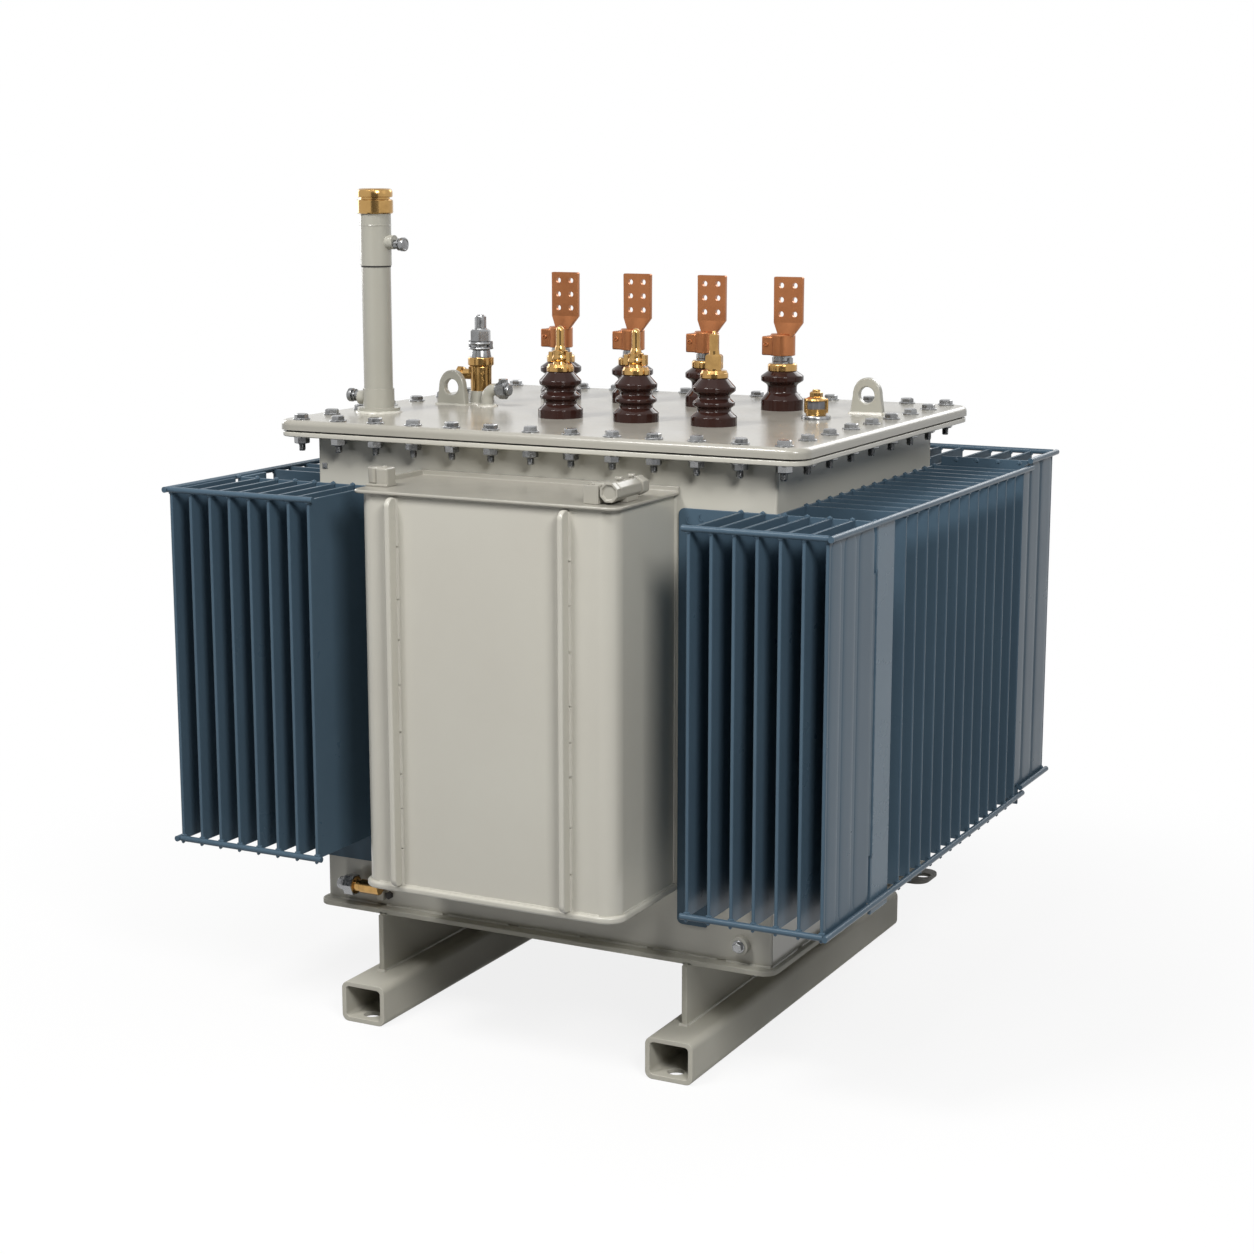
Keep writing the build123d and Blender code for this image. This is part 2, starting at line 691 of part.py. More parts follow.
# High-voltage bushings: a ribbed porcelain, with a brass collar, nut and stud on top
hv_points = ((0, 0), (hv_base_radius, 0), (hv_base_radius, hv_base_height),
             (hv_lower_neck_radius, hv_lower_neck_height), (hv_lower_shed_radius, hv_lower_shed_height),
             (hv_upper_neck_radius, hv_upper_neck_height), (hv_upper_shed_radius, hv_upper_shed_height),
             (hv_porcelain_top_radius, hv_porcelain_height), (0, hv_porcelain_height))
hv_roundings = (0, 0, hv_rounding, hv_neck_rounding, hv_tip_rounding, hv_neck_rounding, hv_tip_rounding, 0, 0)
hv_collar_top = lid_top + hv_porcelain_height + hv_collar_height
hv_places = [(hv_offset + hv_pitch * (i - (hv_count - 1) * half_share), -lid_y + hv_row_setback)
             for i in range(hv_count)]
for i, hv_place in enumerate(hv_places):
    finish(turned(hv_place, lid_top, hv_points, hv_roundings), f"hv_insulator_{i + 1}")
with BuildPart() as hv_terminals:
    with BuildSketch(Plane.XY.offset(lid_top + hv_porcelain_height)):
        with Locations(*hv_places):
            Circle(hv_collar_radius)
    extrude(amount=hv_collar_height)
    with BuildSketch(Plane.XY.offset(hv_collar_top)):
        with Locations(*hv_places):
            RegularPolygon(hv_nut_radius, 6)
    extrude(amount=hv_nut_height)
    with BuildSketch(Plane.XY.offset(hv_collar_top + hv_nut_height)):
        with Locations(*hv_places):
            Circle(hv_stud_radius)
    extrude(amount=hv_stud_length)
    chamfer(hv_terminals.faces().group_by(Axis.Z)[-1].edges(), hv_stud_tip)
finish(hv_terminals, "hv_terminals")

# Low-voltage bushings: a waisted porcelain, a brass collar with a stem, and a copper flag clamped to it
lv_points = ((0, 0), (lv_base_radius, 0), (lv_base_radius, lv_base_height),
             (lv_neck_radius, lv_neck_low_height), (lv_neck_radius, lv_neck_high_height),
             (lv_shed_radius, lv_shed_low_height), (lv_shed_radius, lv_shed_high_height),
             (lv_top_radius, lv_porcelain_height), (0, lv_porcelain_height))
lv_roundings = (0, 0, lv_rounding, lv_neck_rounding, lv_neck_rounding, lv_tip_rounding, lv_tip_rounding, 0, 0)
lv_y = lid_y - lv_row_setback
lv_places = [(lv_offset + lv_pitch * (i - (lv_count - 1) * half_share), lv_y) for i in range(lv_count)]
lv_collar_bottom = lid_top + lv_porcelain_height
lv_stem_bottom = lv_collar_bottom + lv_collar_height
flag_clamp_bottom = lv_stem_bottom + lv_stem_height
flag_clamp_top = flag_clamp_bottom + flag_clamp_height
flag_bottom = flag_clamp_top + flag_neck_height
flag_top = flag_bottom + flag_height
flag_hole_middle = flag_top - flag_hole_top_margin - flag_hole_pitch_up * (flag_hole_rows - 1) * half_share

with BuildPart() as lv_collars:
    with BuildSketch(Plane.XY.offset(lv_collar_bottom)):
        with Locations(*lv_places):
            Circle(lv_collar_radius)
    extrude(amount=lv_collar_height)
    with BuildSketch(Plane.XY.offset(lv_stem_bottom)):
        with Locations(*lv_places):
            Circle(lv_stem_radius)
    extrude(amount=lv_stem_height)
finish(lv_collars, "lv_collars")

for i, lv_place in enumerate(lv_places):
    finish(turned(lv_place, lid_top, lv_points, lv_roundings), f"lv_insulator_{i + 1}")
    flag_place = (lv_place[0] + flag_offset, lv_place[1])
    clamp_middle = (lv_place[0] + flag_clamp_offset, lv_place[1])
    clamp_left = clamp_middle[0] - flag_clamp_length * half_share
    with BuildPart() as lv_flag:
        with BuildSketch(Plane.XY.offset(flag_clamp_bottom)):
            with Locations(clamp_middle):
                RectangleRounded(flag_clamp_length, flag_clamp_depth, flag_clamp_radius)
        extrude(amount=flag_clamp_height)
        with BuildSketch(upright_plane(lv_place, 0)):
            with BuildLine():
                Polyline((flag_neck_offset - flag_neck_length * half_share, flag_clamp_top),
                         (flag_neck_offset + flag_neck_length * half_share, flag_clamp_top),
                         (flag_offset + flag_width * half_share, flag_bottom),
                         (flag_offset - flag_width * half_share, flag_bottom), close=True)
            make_face()
        extrude(amount=flag_thickness * half_share, both=True)
        with BuildSketch(upright_plane(flag_place, middle((flag_bottom, flag_top)))) as outline:
            Rectangle(flag_width, flag_height)
            fillet(outline.vertices().group_by(Axis.Y)[-1], flag_corner_radius)
        extrude(amount=flag_thickness * half_share, both=True)
        with BuildSketch(upright_plane(flag_place, flag_hole_middle)):
            with GridLocations(flag_hole_pitch_across, flag_hole_pitch_up, flag_hole_columns, flag_hole_rows):
                Circle(flag_hole_radius)
        extrude(amount=flag_thickness * half_share, both=True, mode=Mode.SUBTRACT)
        with BuildSketch(Plane.XY.offset(flag_clamp_bottom)):
            with Locations((clamp_left + flag_clamp_slit * half_share, lv_place[1])):
                Rectangle(flag_clamp_slit, flag_clamp_slot)
        extrude(amount=flag_clamp_height, mode=Mode.SUBTRACT)
    finish(lv_flag, f"lv_flag_{i + 1}")

# Filling pipe: a flanged tube with a sleeve at its head, two welded sockets, plugs in them and a cap
pipe_place = (-lid_x + pipe_inset, -lid_y + pipe_setback)
pipe_points = ((pipe_bore_radius, 0), (pipe_flange_radius, 0), (pipe_flange_radius, pipe_flange_height),
               (pipe_collar_radius, pipe_flange_height), (pipe_collar_radius, pipe_collar_height),
               (pipe_radius, pipe_collar_height), (pipe_radius, pipe_sleeve_start),
               (pipe_sleeve_radius, pipe_sleeve_start), (pipe_sleeve_radius, pipe_height),
               (pipe_bore_radius, pipe_height))
pipe_tube = turned(pipe_place, lid_top, pipe_points, (0,) * len(pipe_points))
upper_socket_end = pipe_place[0] + pipe_sleeve_radius + pipe_socket_length
lower_socket_end = pipe_place[0] - pipe_collar_radius - pipe_socket_length
sockets = ((upper_socket_end, -1, pipe_upper_socket_height), (lower_socket_end, 1, pipe_lower_socket_height))
with BuildPart() as fill_pipe:
    add(pipe_tube.part)
    for end_x, inward, height in sockets:
        with BuildSketch(Plane.YZ.offset(end_x)):
            with Locations((pipe_place[1], lid_top + height)):
                Circle(pipe_socket_radius)
        extrude(amount=inward * (abs(end_x - pipe_place[0]) - pipe_bore_radius))
finish(fill_pipe, "fill_pipe")

with BuildPart() as fill_pipe_plugs:
    for end_x, inward, height in sockets:
        with BuildSketch(Plane.YZ.offset(end_x)):
            with Locations((pipe_place[1], lid_top + height)):
                RegularPolygon(pipe_plug_radius, 6)
        extrude(amount=-inward * pipe_plug_length)
        with BuildSketch(Plane.YZ.offset(end_x - inward * pipe_plug_length)):
            with Locations((pipe_place[1], lid_top + height)):
                Circle(pipe_plug_head_radius)
        extrude(amount=-inward * pipe_plug_head_length)
finish(fill_pipe_plugs, "fill_pipe_plugs")

cap_groove_top = pipe_cap_rim_height + pipe_cap_groove_height
cap_height = cap_groove_top + pipe_cap_top_height
cap_points = ((0, 0), (pipe_cap_radius, 0), (pipe_cap_radius, pipe_cap_rim_height),
              (pipe_cap_groove_radius, pipe_cap_rim_height), (pipe_cap_groove_radius, cap_groove_top),
              (pipe_cap_radius, cap_groove_top), (pipe_cap_radius, cap_height), (0, cap_height))
cap_roundings = (0, pipe_cap_rounding, pipe_cap_rounding, 0, 0, pipe_cap_rounding, pipe_cap_rounding, 0)
finish(turned(pipe_place, lid_top + pipe_height, cap_points, cap_roundings), "fill_pipe_cap")

# Lifting lugs: upright plates with a round head and a shackle hole, facing the front
lug_places = ((-lid_x + lug_left_inset, lv_y - lug_left_row_gap),
              (lid_x - lug_right_inset, -lid_y + lug_right_setback))
lug_head_height = lug_height - lug_width * half_share
with BuildPart() as lifting_lugs:
    for lug_place in lug_places:
        with BuildSketch(upright_plane(lug_place, lid_top)):
            with Locations((0, lug_head_height * half_share)):
                Rectangle(lug_width, lug_head_height)
            with Locations((0, lug_head_height)):
                Circle(lug_width * half_share)
                Circle(lug_hole_radius, mode=Mode.SUBTRACT)
        extrude(amount=lug_thickness * half_share, both=True)
finish(lifting_lugs, "lifting_lugs")

# Valve: a painted collar, a brass body with a side arm, and a steel stem with its ring and nut
valve_place = (-lid_x + valve_inset, lv_y - valve_row_gap)
valve_collar_points = ((0, 0), (valve_collar_radius, 0), (valve_collar_top_radius, valve_collar_height),
                       (0, valve_collar_height))
finish(turned(valve_place, lid_top, valve_collar_points, (0,) * len(valve_collar_points)), "valve_collar")
valve_body_bottom = lid_top + valve_collar_height
valve_rim_bottom = valve_body_bottom + valve_body_height
valve_stem_bottom = valve_rim_bottom + valve_rim_height
with BuildPart() as valve_body:
    with BuildSketch(Plane.XY.offset(valve_body_bottom)):
        with Locations(valve_place):
            Circle(valve_body_radius)
    extrude(amount=valve_body_height)
    with BuildSketch(Plane.XY.offset(valve_rim_bottom)):
        with Locations(valve_place):
            Circle(valve_rim_radius)
    extrude(amount=valve_rim_height)
    with BuildSketch(Plane.YZ.offset(valve_place[0])):
        with Locations((valve_place[1], valve_body_bottom + valve_arm_height)):
            Circle(valve_arm_radius)
    extrude(amount=-valve_arm_length)
finish(valve_body, "valve_body")

valve_ring_bottom = valve_stem_bottom + valve_stem_base_height
valve_hex_bottom = valve_ring_bottom + valve_ring_height
valve_tip_bottom = valve_hex_bottom + valve_hex_height
with BuildPart() as valve_stem:
    for radius, bottom, height in ((valve_stem_base_radius, valve_stem_bottom, valve_stem_base_height),
                                   (valve_ring_radius, valve_ring_bottom, valve_ring_height),
                                   (valve_stem_radius, valve_tip_bottom, valve_stem_height)):
        with BuildSketch(Plane.XY.offset(bottom)):
            with Locations(valve_place):
                Circle(radius)
        extrude(amount=height)
    with BuildSketch(Plane.XY.offset(valve_hex_bottom)):
        with Locations(valve_place):
            RegularPolygon(valve_hex_radius, 6)
    extrude(amount=valve_hex_height)
finish(valve_stem, "valve_stem")

# Elbow beside and in front of the valve: a flanged bend with a six-sided union on its end
elbow_way = Vector(valve_collar_radius + elbow_gap + elbow_flange_radius, 0).rotate(Axis.Z, -elbow_turn)
elbow_place = (valve_place[0] + elbow_way.X, valve_place[1] + elbow_way.Y)
elbow_axis_height = lid_top + elbow_riser + elbow_bend_radius
elbow_end = elbow_place[0] + elbow_bend_radius + elbow_run
with BuildPart() as vent_elbow:
    with BuildLine() as route:
        FilletPolyline((elbow_place[0], elbow_place[1], lid_top), (elbow_place[0], elbow_place[1], elbow_axis_height),
                       (elbow_end, elbow_place[1], elbow_axis_height), radius=elbow_bend_radius)
    with BuildSketch(Plane.XY.offset(lid_top)):
        with Locations(elbow_place):
            Circle(elbow_tube_radius)
    sweep(path=route.line)
    with BuildSketch(Plane.XY.offset(lid_top)):
        with Locations(elbow_place):
            Circle(elbow_flange_radius)
    extrude(amount=elbow_flange_height)
finish(vent_elbow, "vent_elbow")

with BuildPart() as vent_union:
    with BuildSketch(Plane.YZ.offset(elbow_end)):
        with Locations((elbow_place[1], elbow_axis_height)):
            RegularPolygon(union_radius, 6)
    extrude(amount=union_length)
    with BuildSketch(Plane.YZ.offset(elbow_end + union_length)):
        with Locations((elbow_place[1], elbow_axis_height)):
            Circle(union_nose_radius)
    extrude(amount=union_nose_length)
finish(vent_union, "vent_union")

# Relief fitting: a steel base, and a brass body with a glass-banded waist and a knob
relief_place = (lid_x - relief_inset, -lid_y + relief_setback)
with BuildPart() as relief_base:
    with BuildSketch(Plane.XY.offset(lid_top)):
        with Locations(relief_place):
            Circle(relief_base_radius)
    extrude(amount=relief_base_height)
finish(relief_base, "relief_base")
relief_glass_top = relief_cup_height + relief_glass_height
relief_crown_top = relief_glass_top + relief_crown_height
relief_top = relief_crown_top + relief_knob_height
relief_points = ((0, 0), (relief_cup_radius, 0), (relief_cup_radius, relief_cup_height),
                 (relief_glass_radius, relief_cup_height), (relief_glass_radius, relief_glass_top),
                 (relief_crown_radius, relief_glass_top), (relief_crown_radius, relief_crown_top),
                 (relief_knob_radius, relief_crown_top), (relief_knob_radius, relief_top), (0, relief_top))
relief_roundings = (0, 0, relief_rounding, 0, 0, relief_rounding, relief_rounding, 0, relief_rounding, 0)
finish(turned(relief_place, lid_top + relief_base_height, relief_points, relief_roundings), "relief_body")

# Drain valve low on the front wall: a brass body that turns along the wall, and a steel cap
drain_x = -tank_x + drain_inset
drain_y = -tank_y - drain_reach
drain_z = base_plate_top + drain_height
drain_nut_x = drain_x - drain_body_length
drain_cap_x = drain_nut_x - drain_nut_length
with BuildPart() as drain_valve:
    with BuildSketch(upright_plane((drain_x, -tank_y), drain_z)):
        Circle(drain_body_radius)
    extrude(amount=drain_reach)
    with BuildSketch(Plane.YZ.offset(drain_x + drain_body_radius)):
        with Locations((drain_y, drain_z)):
            Circle(drain_body_radius)
    extrude(amount=-(drain_body_length + drain_body_radius))
    with BuildSketch(Plane.YZ.offset(drain_nut_x)):
        with Locations((drain_y, drain_z)):
            Circle(drain_nut_radius)
    extrude(amount=-drain_nut_length)
finish(drain_valve, "drain_valve")
with BuildPart() as drain_cap:
    with BuildSketch(Plane.YZ.offset(drain_cap_x)):
        with Locations((drain_y, drain_z)):
            RegularPolygon(drain_cap_radius, 6)
    extrude(amount=-drain_cap_length)
    with BuildSketch(Plane.YZ.offset(drain_cap_x - drain_cap_length)):
        with Locations((drain_y, drain_z)):
            Circle(drain_tip_radius)
    extrude(amount=-drain_tip_length)
finish(drain_cap, "drain_cap")

# Earthing boss low on the front wall, with a blind hole for its bolt
with BuildPart() as earth_boss:
    with BuildSketch(upright_plane((tank_x - earth_inset, -tank_y), base_plate_top + earth_height)):
        Circle(earth_radius)
        Circle(earth_hole_radius, mode=Mode.SUBTRACT)
    extrude(amount=earth_length)
finish(earth_boss, "earth_boss")

# Towing lugs: flat ears on the base plate's side edges
towing_y = tank_y - towing_inset
with BuildPart() as towing_lugs:
    for side in (-1, 1):
        with BuildSketch(Plane.XY.offset(base_plate_bottom)) as plan:
            with Locations((side * (base_plate_x + towing_length * half_share), towing_y)):
                Rectangle(towing_length, towing_width)
            outer_corners = plan.vertices().group_by(Axis.X)[0 if side < 0 else -1]
            fillet(outer_corners, towing_corner_radius)
            with Locations((side * (base_plate_x + towing_hole_reach), towing_y)):
                Circle(towing_hole_radius, mode=Mode.SUBTRACT)
        extrude(amount=base_plate_thickness - base_plate_edge_radius)
finish(towing_lugs, "towing_lugs")
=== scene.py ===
# %% [markdown]
# # An oil-immersed transformer, dressed for the studio
# The solids of the transformer come in already built, in metres and in their own places. This lesson adds
# what a workshop would add last: paint, glaze and bare metal, bolts, weld beads, threads and small
# fittings. Nearly every new piece is placed from the boxes of the solids, so little has to be fitted by
# eye.

# %% Load the solids
import json
import math
import random

import bmesh
import bpy
from mathutils import Matrix, Vector


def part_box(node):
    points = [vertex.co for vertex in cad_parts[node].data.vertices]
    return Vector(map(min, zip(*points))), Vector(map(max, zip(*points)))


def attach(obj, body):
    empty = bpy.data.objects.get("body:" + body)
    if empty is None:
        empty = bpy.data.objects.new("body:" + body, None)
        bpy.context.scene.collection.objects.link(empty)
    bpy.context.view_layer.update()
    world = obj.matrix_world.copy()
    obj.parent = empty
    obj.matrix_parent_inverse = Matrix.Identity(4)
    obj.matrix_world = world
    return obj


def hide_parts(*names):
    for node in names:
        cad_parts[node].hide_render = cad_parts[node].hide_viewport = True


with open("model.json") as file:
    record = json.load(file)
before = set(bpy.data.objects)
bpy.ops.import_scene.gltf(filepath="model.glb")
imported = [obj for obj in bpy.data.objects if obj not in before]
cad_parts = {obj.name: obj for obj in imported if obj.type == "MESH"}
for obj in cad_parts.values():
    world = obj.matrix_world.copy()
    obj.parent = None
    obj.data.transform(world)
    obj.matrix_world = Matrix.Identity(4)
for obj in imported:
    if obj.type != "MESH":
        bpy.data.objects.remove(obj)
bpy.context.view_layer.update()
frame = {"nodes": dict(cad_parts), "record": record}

nodes = frame["nodes"]

# %% [markdown]
# ## The camera
# The picture was taken from the right of the front, a little above the lid. A camera could be aimed with a
# constraint, but its turn is known here, so the three axes of its matrix are written down directly.

# %% Camera
UP = Vector((0, 0, 1))
camera_eye = Vector((2.6138, -5.1505, 2.0176))
camera_yaw = math.radians(27.06)
camera_pitch = math.radians(10.92)
lens_length = 67.588
sensor_width = 36.0
camera_right = Vector((math.cos(camera_yaw), math.sin(camera_yaw), 0))
camera_way = Vector((math.sin(camera_yaw), -math.cos(camera_yaw), 0))
camera_back = Vector((math.sin(camera_yaw) * math.cos(camera_pitch),
                      -math.cos(camera_yaw) * math.cos(camera_pitch), math.sin(camera_pitch)))
camera_up = camera_back.cross(camera_right)
camera = bpy.data.objects.new("camera", bpy.data.cameras.new("camera"))
camera.data.lens = lens_length
camera.data.sensor_width = sensor_width
camera.matrix_world = Matrix.Translation(camera_eye) @ Matrix(
    (camera_right, camera_up, camera_back)).transposed().to_4x4()
scene = bpy.context.scene
scene.collection.objects.link(camera)
scene.camera = camera
print("camera at", tuple(round(v, 2) for v in camera_eye))

# %% [markdown]
# ## The backdrop
# A cut-out on white needs a background that is white to the camera and yet throws little light on the
# paint. A bright world would wash the colours out, so the world is mixed from two: a dim one that lights,
# and a white one that only the camera, mirrors and glass see. The Light Path node tells them apart.

# %% Backdrop
SHADER_STEP = 220
WHITE = (1, 1, 1, 1)
sky_tint = (0.93, 0.96, 1.0, 1)
sky_strength = 0.05
scene.view_settings.view_transform = "Standard"


def wire(tree, source, target):
    """Join an output to an input, both given as (node, socket name or number)."""
    tree.links.new(source[0].outputs[source[1]], target[0].inputs[target[1]])


def add_node(tree, kind, **settings):
    """Add a shader node to the right of the last one and set its plain properties."""
    node = tree.nodes.new(kind)
    node.location = (SHADER_STEP * len(tree.nodes), 0)
    for key, value in settings.items():
        setattr(node, key, value)
    return node


def set_sockets(node, values):
    """Set the values of a node's inputs by name."""
    for socket, value in values.items():
        node.inputs[socket].default_value = value


def seen_directly(tree):
    """A mask that is one for rays from the camera, from mirrors and through glass."""
    path = add_node(tree, "ShaderNodeLightPath")
    first = add_node(tree, "ShaderNodeMath", operation="MAXIMUM")
    second = add_node(tree, "ShaderNodeMath", operation="MAXIMUM")
    wire(tree, (path, "Is Camera Ray"), (first, 0))
    wire(tree, (path, "Is Glossy Ray"), (first, 1))
    wire(tree, (first, 0), (second, 0))
    wire(tree, (path, "Is Transmission Ray"), (second, 1))
    return second


world = bpy.data.worlds.new("studio")
scene.world = world
world.use_nodes = True
sky = world.node_tree
sky.nodes.clear()
sky_mask = seen_directly(sky)
sky_dim = add_node(sky, "ShaderNodeBackground")
set_sockets(sky_dim, {"Color": sky_tint, "Strength": sky_strength})
sky_white = add_node(sky, "ShaderNodeBackground")
set_sockets(sky_white, {"Color": WHITE})
sky_mix = add_node(sky, "ShaderNodeMixShader")
sky_out = add_node(sky, "ShaderNodeOutputWorld")
for socket, source in enumerate((sky_mask, sky_dim, sky_white)):
    wire(sky, (source, 0), (sky_mix, socket))
wire(sky, (sky_mix, 0), (sky_out, 0))
print("backdrop strength", sky_strength)

# %% [markdown]
# ## The floor
# The floor has to stay white and still hold a soft shadow under the skids. It is a plain disc with a matt
# surface. Away from the object it fades into a white glow that only the camera and mirrors see. What
# bounces up from it is kept darker than what is seen, so that the undersides stay in shade.

# %% Floor
floor_radius = 14.0
floor_sides = 96
fade_range = {"From Min": 1.0, "From Max": 2.6, "To Min": 0.85, "To Max": 1.0}
bounce_and_seen_tone = {"To Min": 0.34, "To Max": 0.9}


def mesh_object(shape, name):
    """Make a bmesh an object of the scene, with its place in its mesh."""
    mesh = bpy.data.meshes.new(name)
    shape.to_mesh(mesh)
    shape.free()
    made = bpy.data.objects.new(name, mesh)
    scene.collection.objects.link(made)
    return made


def empty_finish(made, name):
    """Give an object a material with an empty tree, and return the tree."""
    finish = bpy.data.materials.new(name)
    finish.use_nodes = True
    finish.node_tree.nodes.clear()
    made.data.materials.append(finish)
    return finish.node_tree


floor_shape = bmesh.new()
bmesh.ops.create_circle(floor_shape, cap_ends=True, segments=floor_sides, radius=floor_radius)
floor = mesh_object(floor_shape, "floor")
ground = empty_finish(floor, "floor_white")
ground_mask = seen_directly(ground)
ground_place = add_node(ground, "ShaderNodeTexCoord")
ground_reach = add_node(ground, "ShaderNodeVectorMath", operation="LENGTH")
ground_fade = add_node(ground, "ShaderNodeMapRange", interpolation_type="SMOOTHSTEP")
set_sockets(ground_fade, fade_range)
ground_share = add_node(ground, "ShaderNodeMath", operation="MULTIPLY")
ground_tone = add_node(ground, "ShaderNodeMapRange")
set_sockets(ground_tone, bounce_and_seen_tone)
ground_matt = add_node(ground, "ShaderNodeBsdfDiffuse")
ground_glow = add_node(ground, "ShaderNodeEmission")
ground_mix = add_node(ground, "ShaderNodeMixShader")
ground_out = add_node(ground, "ShaderNodeOutputMaterial")
wire(ground, (ground_mask, 0), (ground_tone, "Value"))
wire(ground, (ground_tone, "Result"), (ground_matt, "Color"))
wire(ground, (ground_place, "Object"), (ground_reach, 0))
wire(ground, (ground_reach, "Value"), (ground_fade, "Value"))
wire(ground, (ground_fade, "Result"), (ground_share, 0))
wire(ground, (ground_mask, 0), (ground_share, 1))
for socket, source in enumerate((ground_share, ground_matt, ground_glow)):
    wire(ground, (source, 0), (ground_mix, socket))
wire(ground, (ground_mix, 0), (ground_out, 0))
print("floor radius", floor_radius)

# %% [markdown]
# ## The lamps
# Three lamps stand high in front, so that the lid throws a shadow on the wall below it. Weak ones above and
# at the sides and stronger ones behind keep the far sides from going black. Small lamps make crisp
# highlights on glaze and metal, and wide ones make none that show.

# %% Lamps
lamp_target = Vector((0.0, 0.0, 0.9))
lamps = (("key_lamp", (-1.5, -3.6, 5.6), 1.5, 215, (1.0, 0.99, 0.975)),
         ("fill_lamp", (3.6, -3.8, 4.0), 1.5, 205, (1.0, 0.993, 0.98)),
         ("front_lamp", (0.6, -3.9, 5.8), 1.6, 60, (1.0, 0.993, 0.98)),
         ("top_lamp", (0.0, -0.6, 6.0), 3.0, 12, (1, 1, 1)),
         ("side_lamp", (5.0, 0.2, 3.4), 2.6, 8, (0.98, 0.99, 1.0)),
         ("rear_lamp", (1.0, 5.2, 4.2), 3.0, 110, (1, 1, 1)),
         ("left_lamp", (-5.2, 1.6, 2.8), 2.6, 95, (1, 1, 1)))
for name, place, width, watts, tint in lamps:
    lamp = bpy.data.lights.new(name, "AREA")
    lamp.size = width
    lamp.energy = watts
    lamp.color = tint
    holder = bpy.data.objects.new(name, lamp)
    aim = (lamp_target - Vector(place)).to_track_quat("-Z", "Y")
    holder.matrix_world = Matrix.Translation(place) @ aim.to_matrix().to_4x4()
    scene.collection.objects.link(holder)
print(len(lamps), "lamps")

# %% [markdown]
# ## The dark card
# In an all-white room polished metal has nothing to reflect and looks like paint. Photographers stand a
# dark card behind the camera, which puts a dark band down the middle of every round, shiny thing. This card
# is a plane that only reflections see: it throws no shadow and takes no light away.

# %% Dark card
card_reach = 6.1
card_width = 5.4
card_height = 4.0
card_glow_strength = 0.2
card_shape = bmesh.new()
bmesh.ops.create_grid(card_shape, x_segments=1, y_segments=1, size=0.5)
bmesh.ops.scale(card_shape, verts=card_shape.verts, vec=(card_width, card_height, 1))
card_turn = Matrix((camera_right, UP, camera_way)).transposed().to_4x4()
card_place = camera_way * card_reach + UP * (card_height / 2)
bmesh.ops.transform(card_shape, verts=card_shape.verts, matrix=Matrix.Translation(card_place) @ card_turn)
card = mesh_object(card_shape, "dark_card")
card.visible_camera = card.visible_diffuse = card.visible_shadow = card.visible_transmission = False
card_tree = empty_finish(card, "dark_card")
card_glow = add_node(card_tree, "ShaderNodeEmission")
set_sockets(card_glow, {"Strength": card_glow_strength})
card_out = add_node(card_tree, "ShaderNodeOutputMaterial")
wire(card_tree, (card_glow, 0), (card_out, 0))
print("card", card_width, "by", card_height)

# %% [markdown]
# ## Shared effects
# Paint on heavy plant is never one flat colour: it has broad cloudy patches, a fine orange-peel skin from
# the spray gun and a little dust. Bare metal has fine drawn lines. Each effect is a node group, so that
# several finishes can use it with their own values. Object coordinates keep the patterns at their true
# size.

# %% Helpers for node groups


def new_group(name, inputs, outputs):
    """A shader node group with named sockets; gives the tree and its two end nodes."""
    tree = bpy.data.node_groups.new(name, "ShaderNodeTree")
    for label, kind, value in inputs:
        socket = tree.interface.new_socket(name=label, in_out="INPUT", socket_type=kind)
        socket.default_value = value
    for label, kind in outputs:
        tree.interface.new_socket(name=label, in_out="OUTPUT", socket_type=kind)
    return tree, add_node(tree, "NodeGroupInput"), add_node(tree, "NodeGroupOutput")


def noise(tree, place, scale, detail=3.0, roughness=0.55):
    """A noise texture on a given vector output."""
    texture = add_node(tree, "ShaderNodeTexNoise")
    set_sockets(texture, {"Scale": scale, "Detail": detail, "Roughness": roughness})
    wire(tree, place, (texture, "Vector"))
    return texture


def ranged(tree, source, low, high, to_low, to_high):
    """Map a value from one range to another; the target ends may be numbers or outputs."""
    node = add_node(tree, "ShaderNodeMapRange")
    set_sockets(node, {"From Min": low, "From Max": high})
    for socket, value in (("To Min", to_low), ("To Max", to_high)):
        if isinstance(value, tuple):
            wire(tree, value, (node, socket))
        else:
            node.inputs[socket].default_value = value
    wire(tree, source, (node, "Value"))
    return node


def blended(tree, factor, first, second):
    """Mix two colour outputs by a factor output."""
    node = add_node(tree, "ShaderNodeMix", data_type="RGBA")
    for socket, source in ((0, factor), (6, first), (7, second)):
        wire(tree, source, (node, socket))
    return node


group_outputs = (("Colour", "NodeSocketColor"), ("Roughness", "NodeSocketFloat"),
                 ("Height", "NodeSocketFloat"))
print("group outputs:", [label for label, kind in group_outputs])

# %% [markdown]
# ## Paint film
# Sprayed paint has patterns of several sizes: clouds as wide as a hand, specks of dust, dull smears and the
# fine skin that the spray leaves. Each could be a painted image, but noise of four sizes needs no image and
# fits every piece.

# %% Paint group
GREY = (0.5, 0.5, 0.5, 1)
paint_group, paint_in, paint_out = new_group(
    "paint_film",
    (("Colour", "NodeSocketColor", GREY), ("Shade", "NodeSocketColor", GREY),
     ("Dust", "NodeSocketColor", GREY), ("Dust Amount", "NodeSocketFloat", 0.1),
     ("Gloss Low", "NodeSocketFloat", 0.25), ("Gloss High", "NodeSocketFloat", 0.4)), group_outputs)
paint_place = (add_node(paint_group, "ShaderNodeTexCoord"), "Object")
cloud = noise(paint_group, paint_place, 2.3, 4.0)
cloud_share = ranged(paint_group, (cloud, "Fac"), 0.3, 0.7, 0.0, 1.0)
cloud_colour = blended(paint_group, (cloud_share, 0), (paint_in, "Shade"), (paint_in, "Colour"))
speckle = noise(paint_group, paint_place, 38.0, 5.0, 0.7)
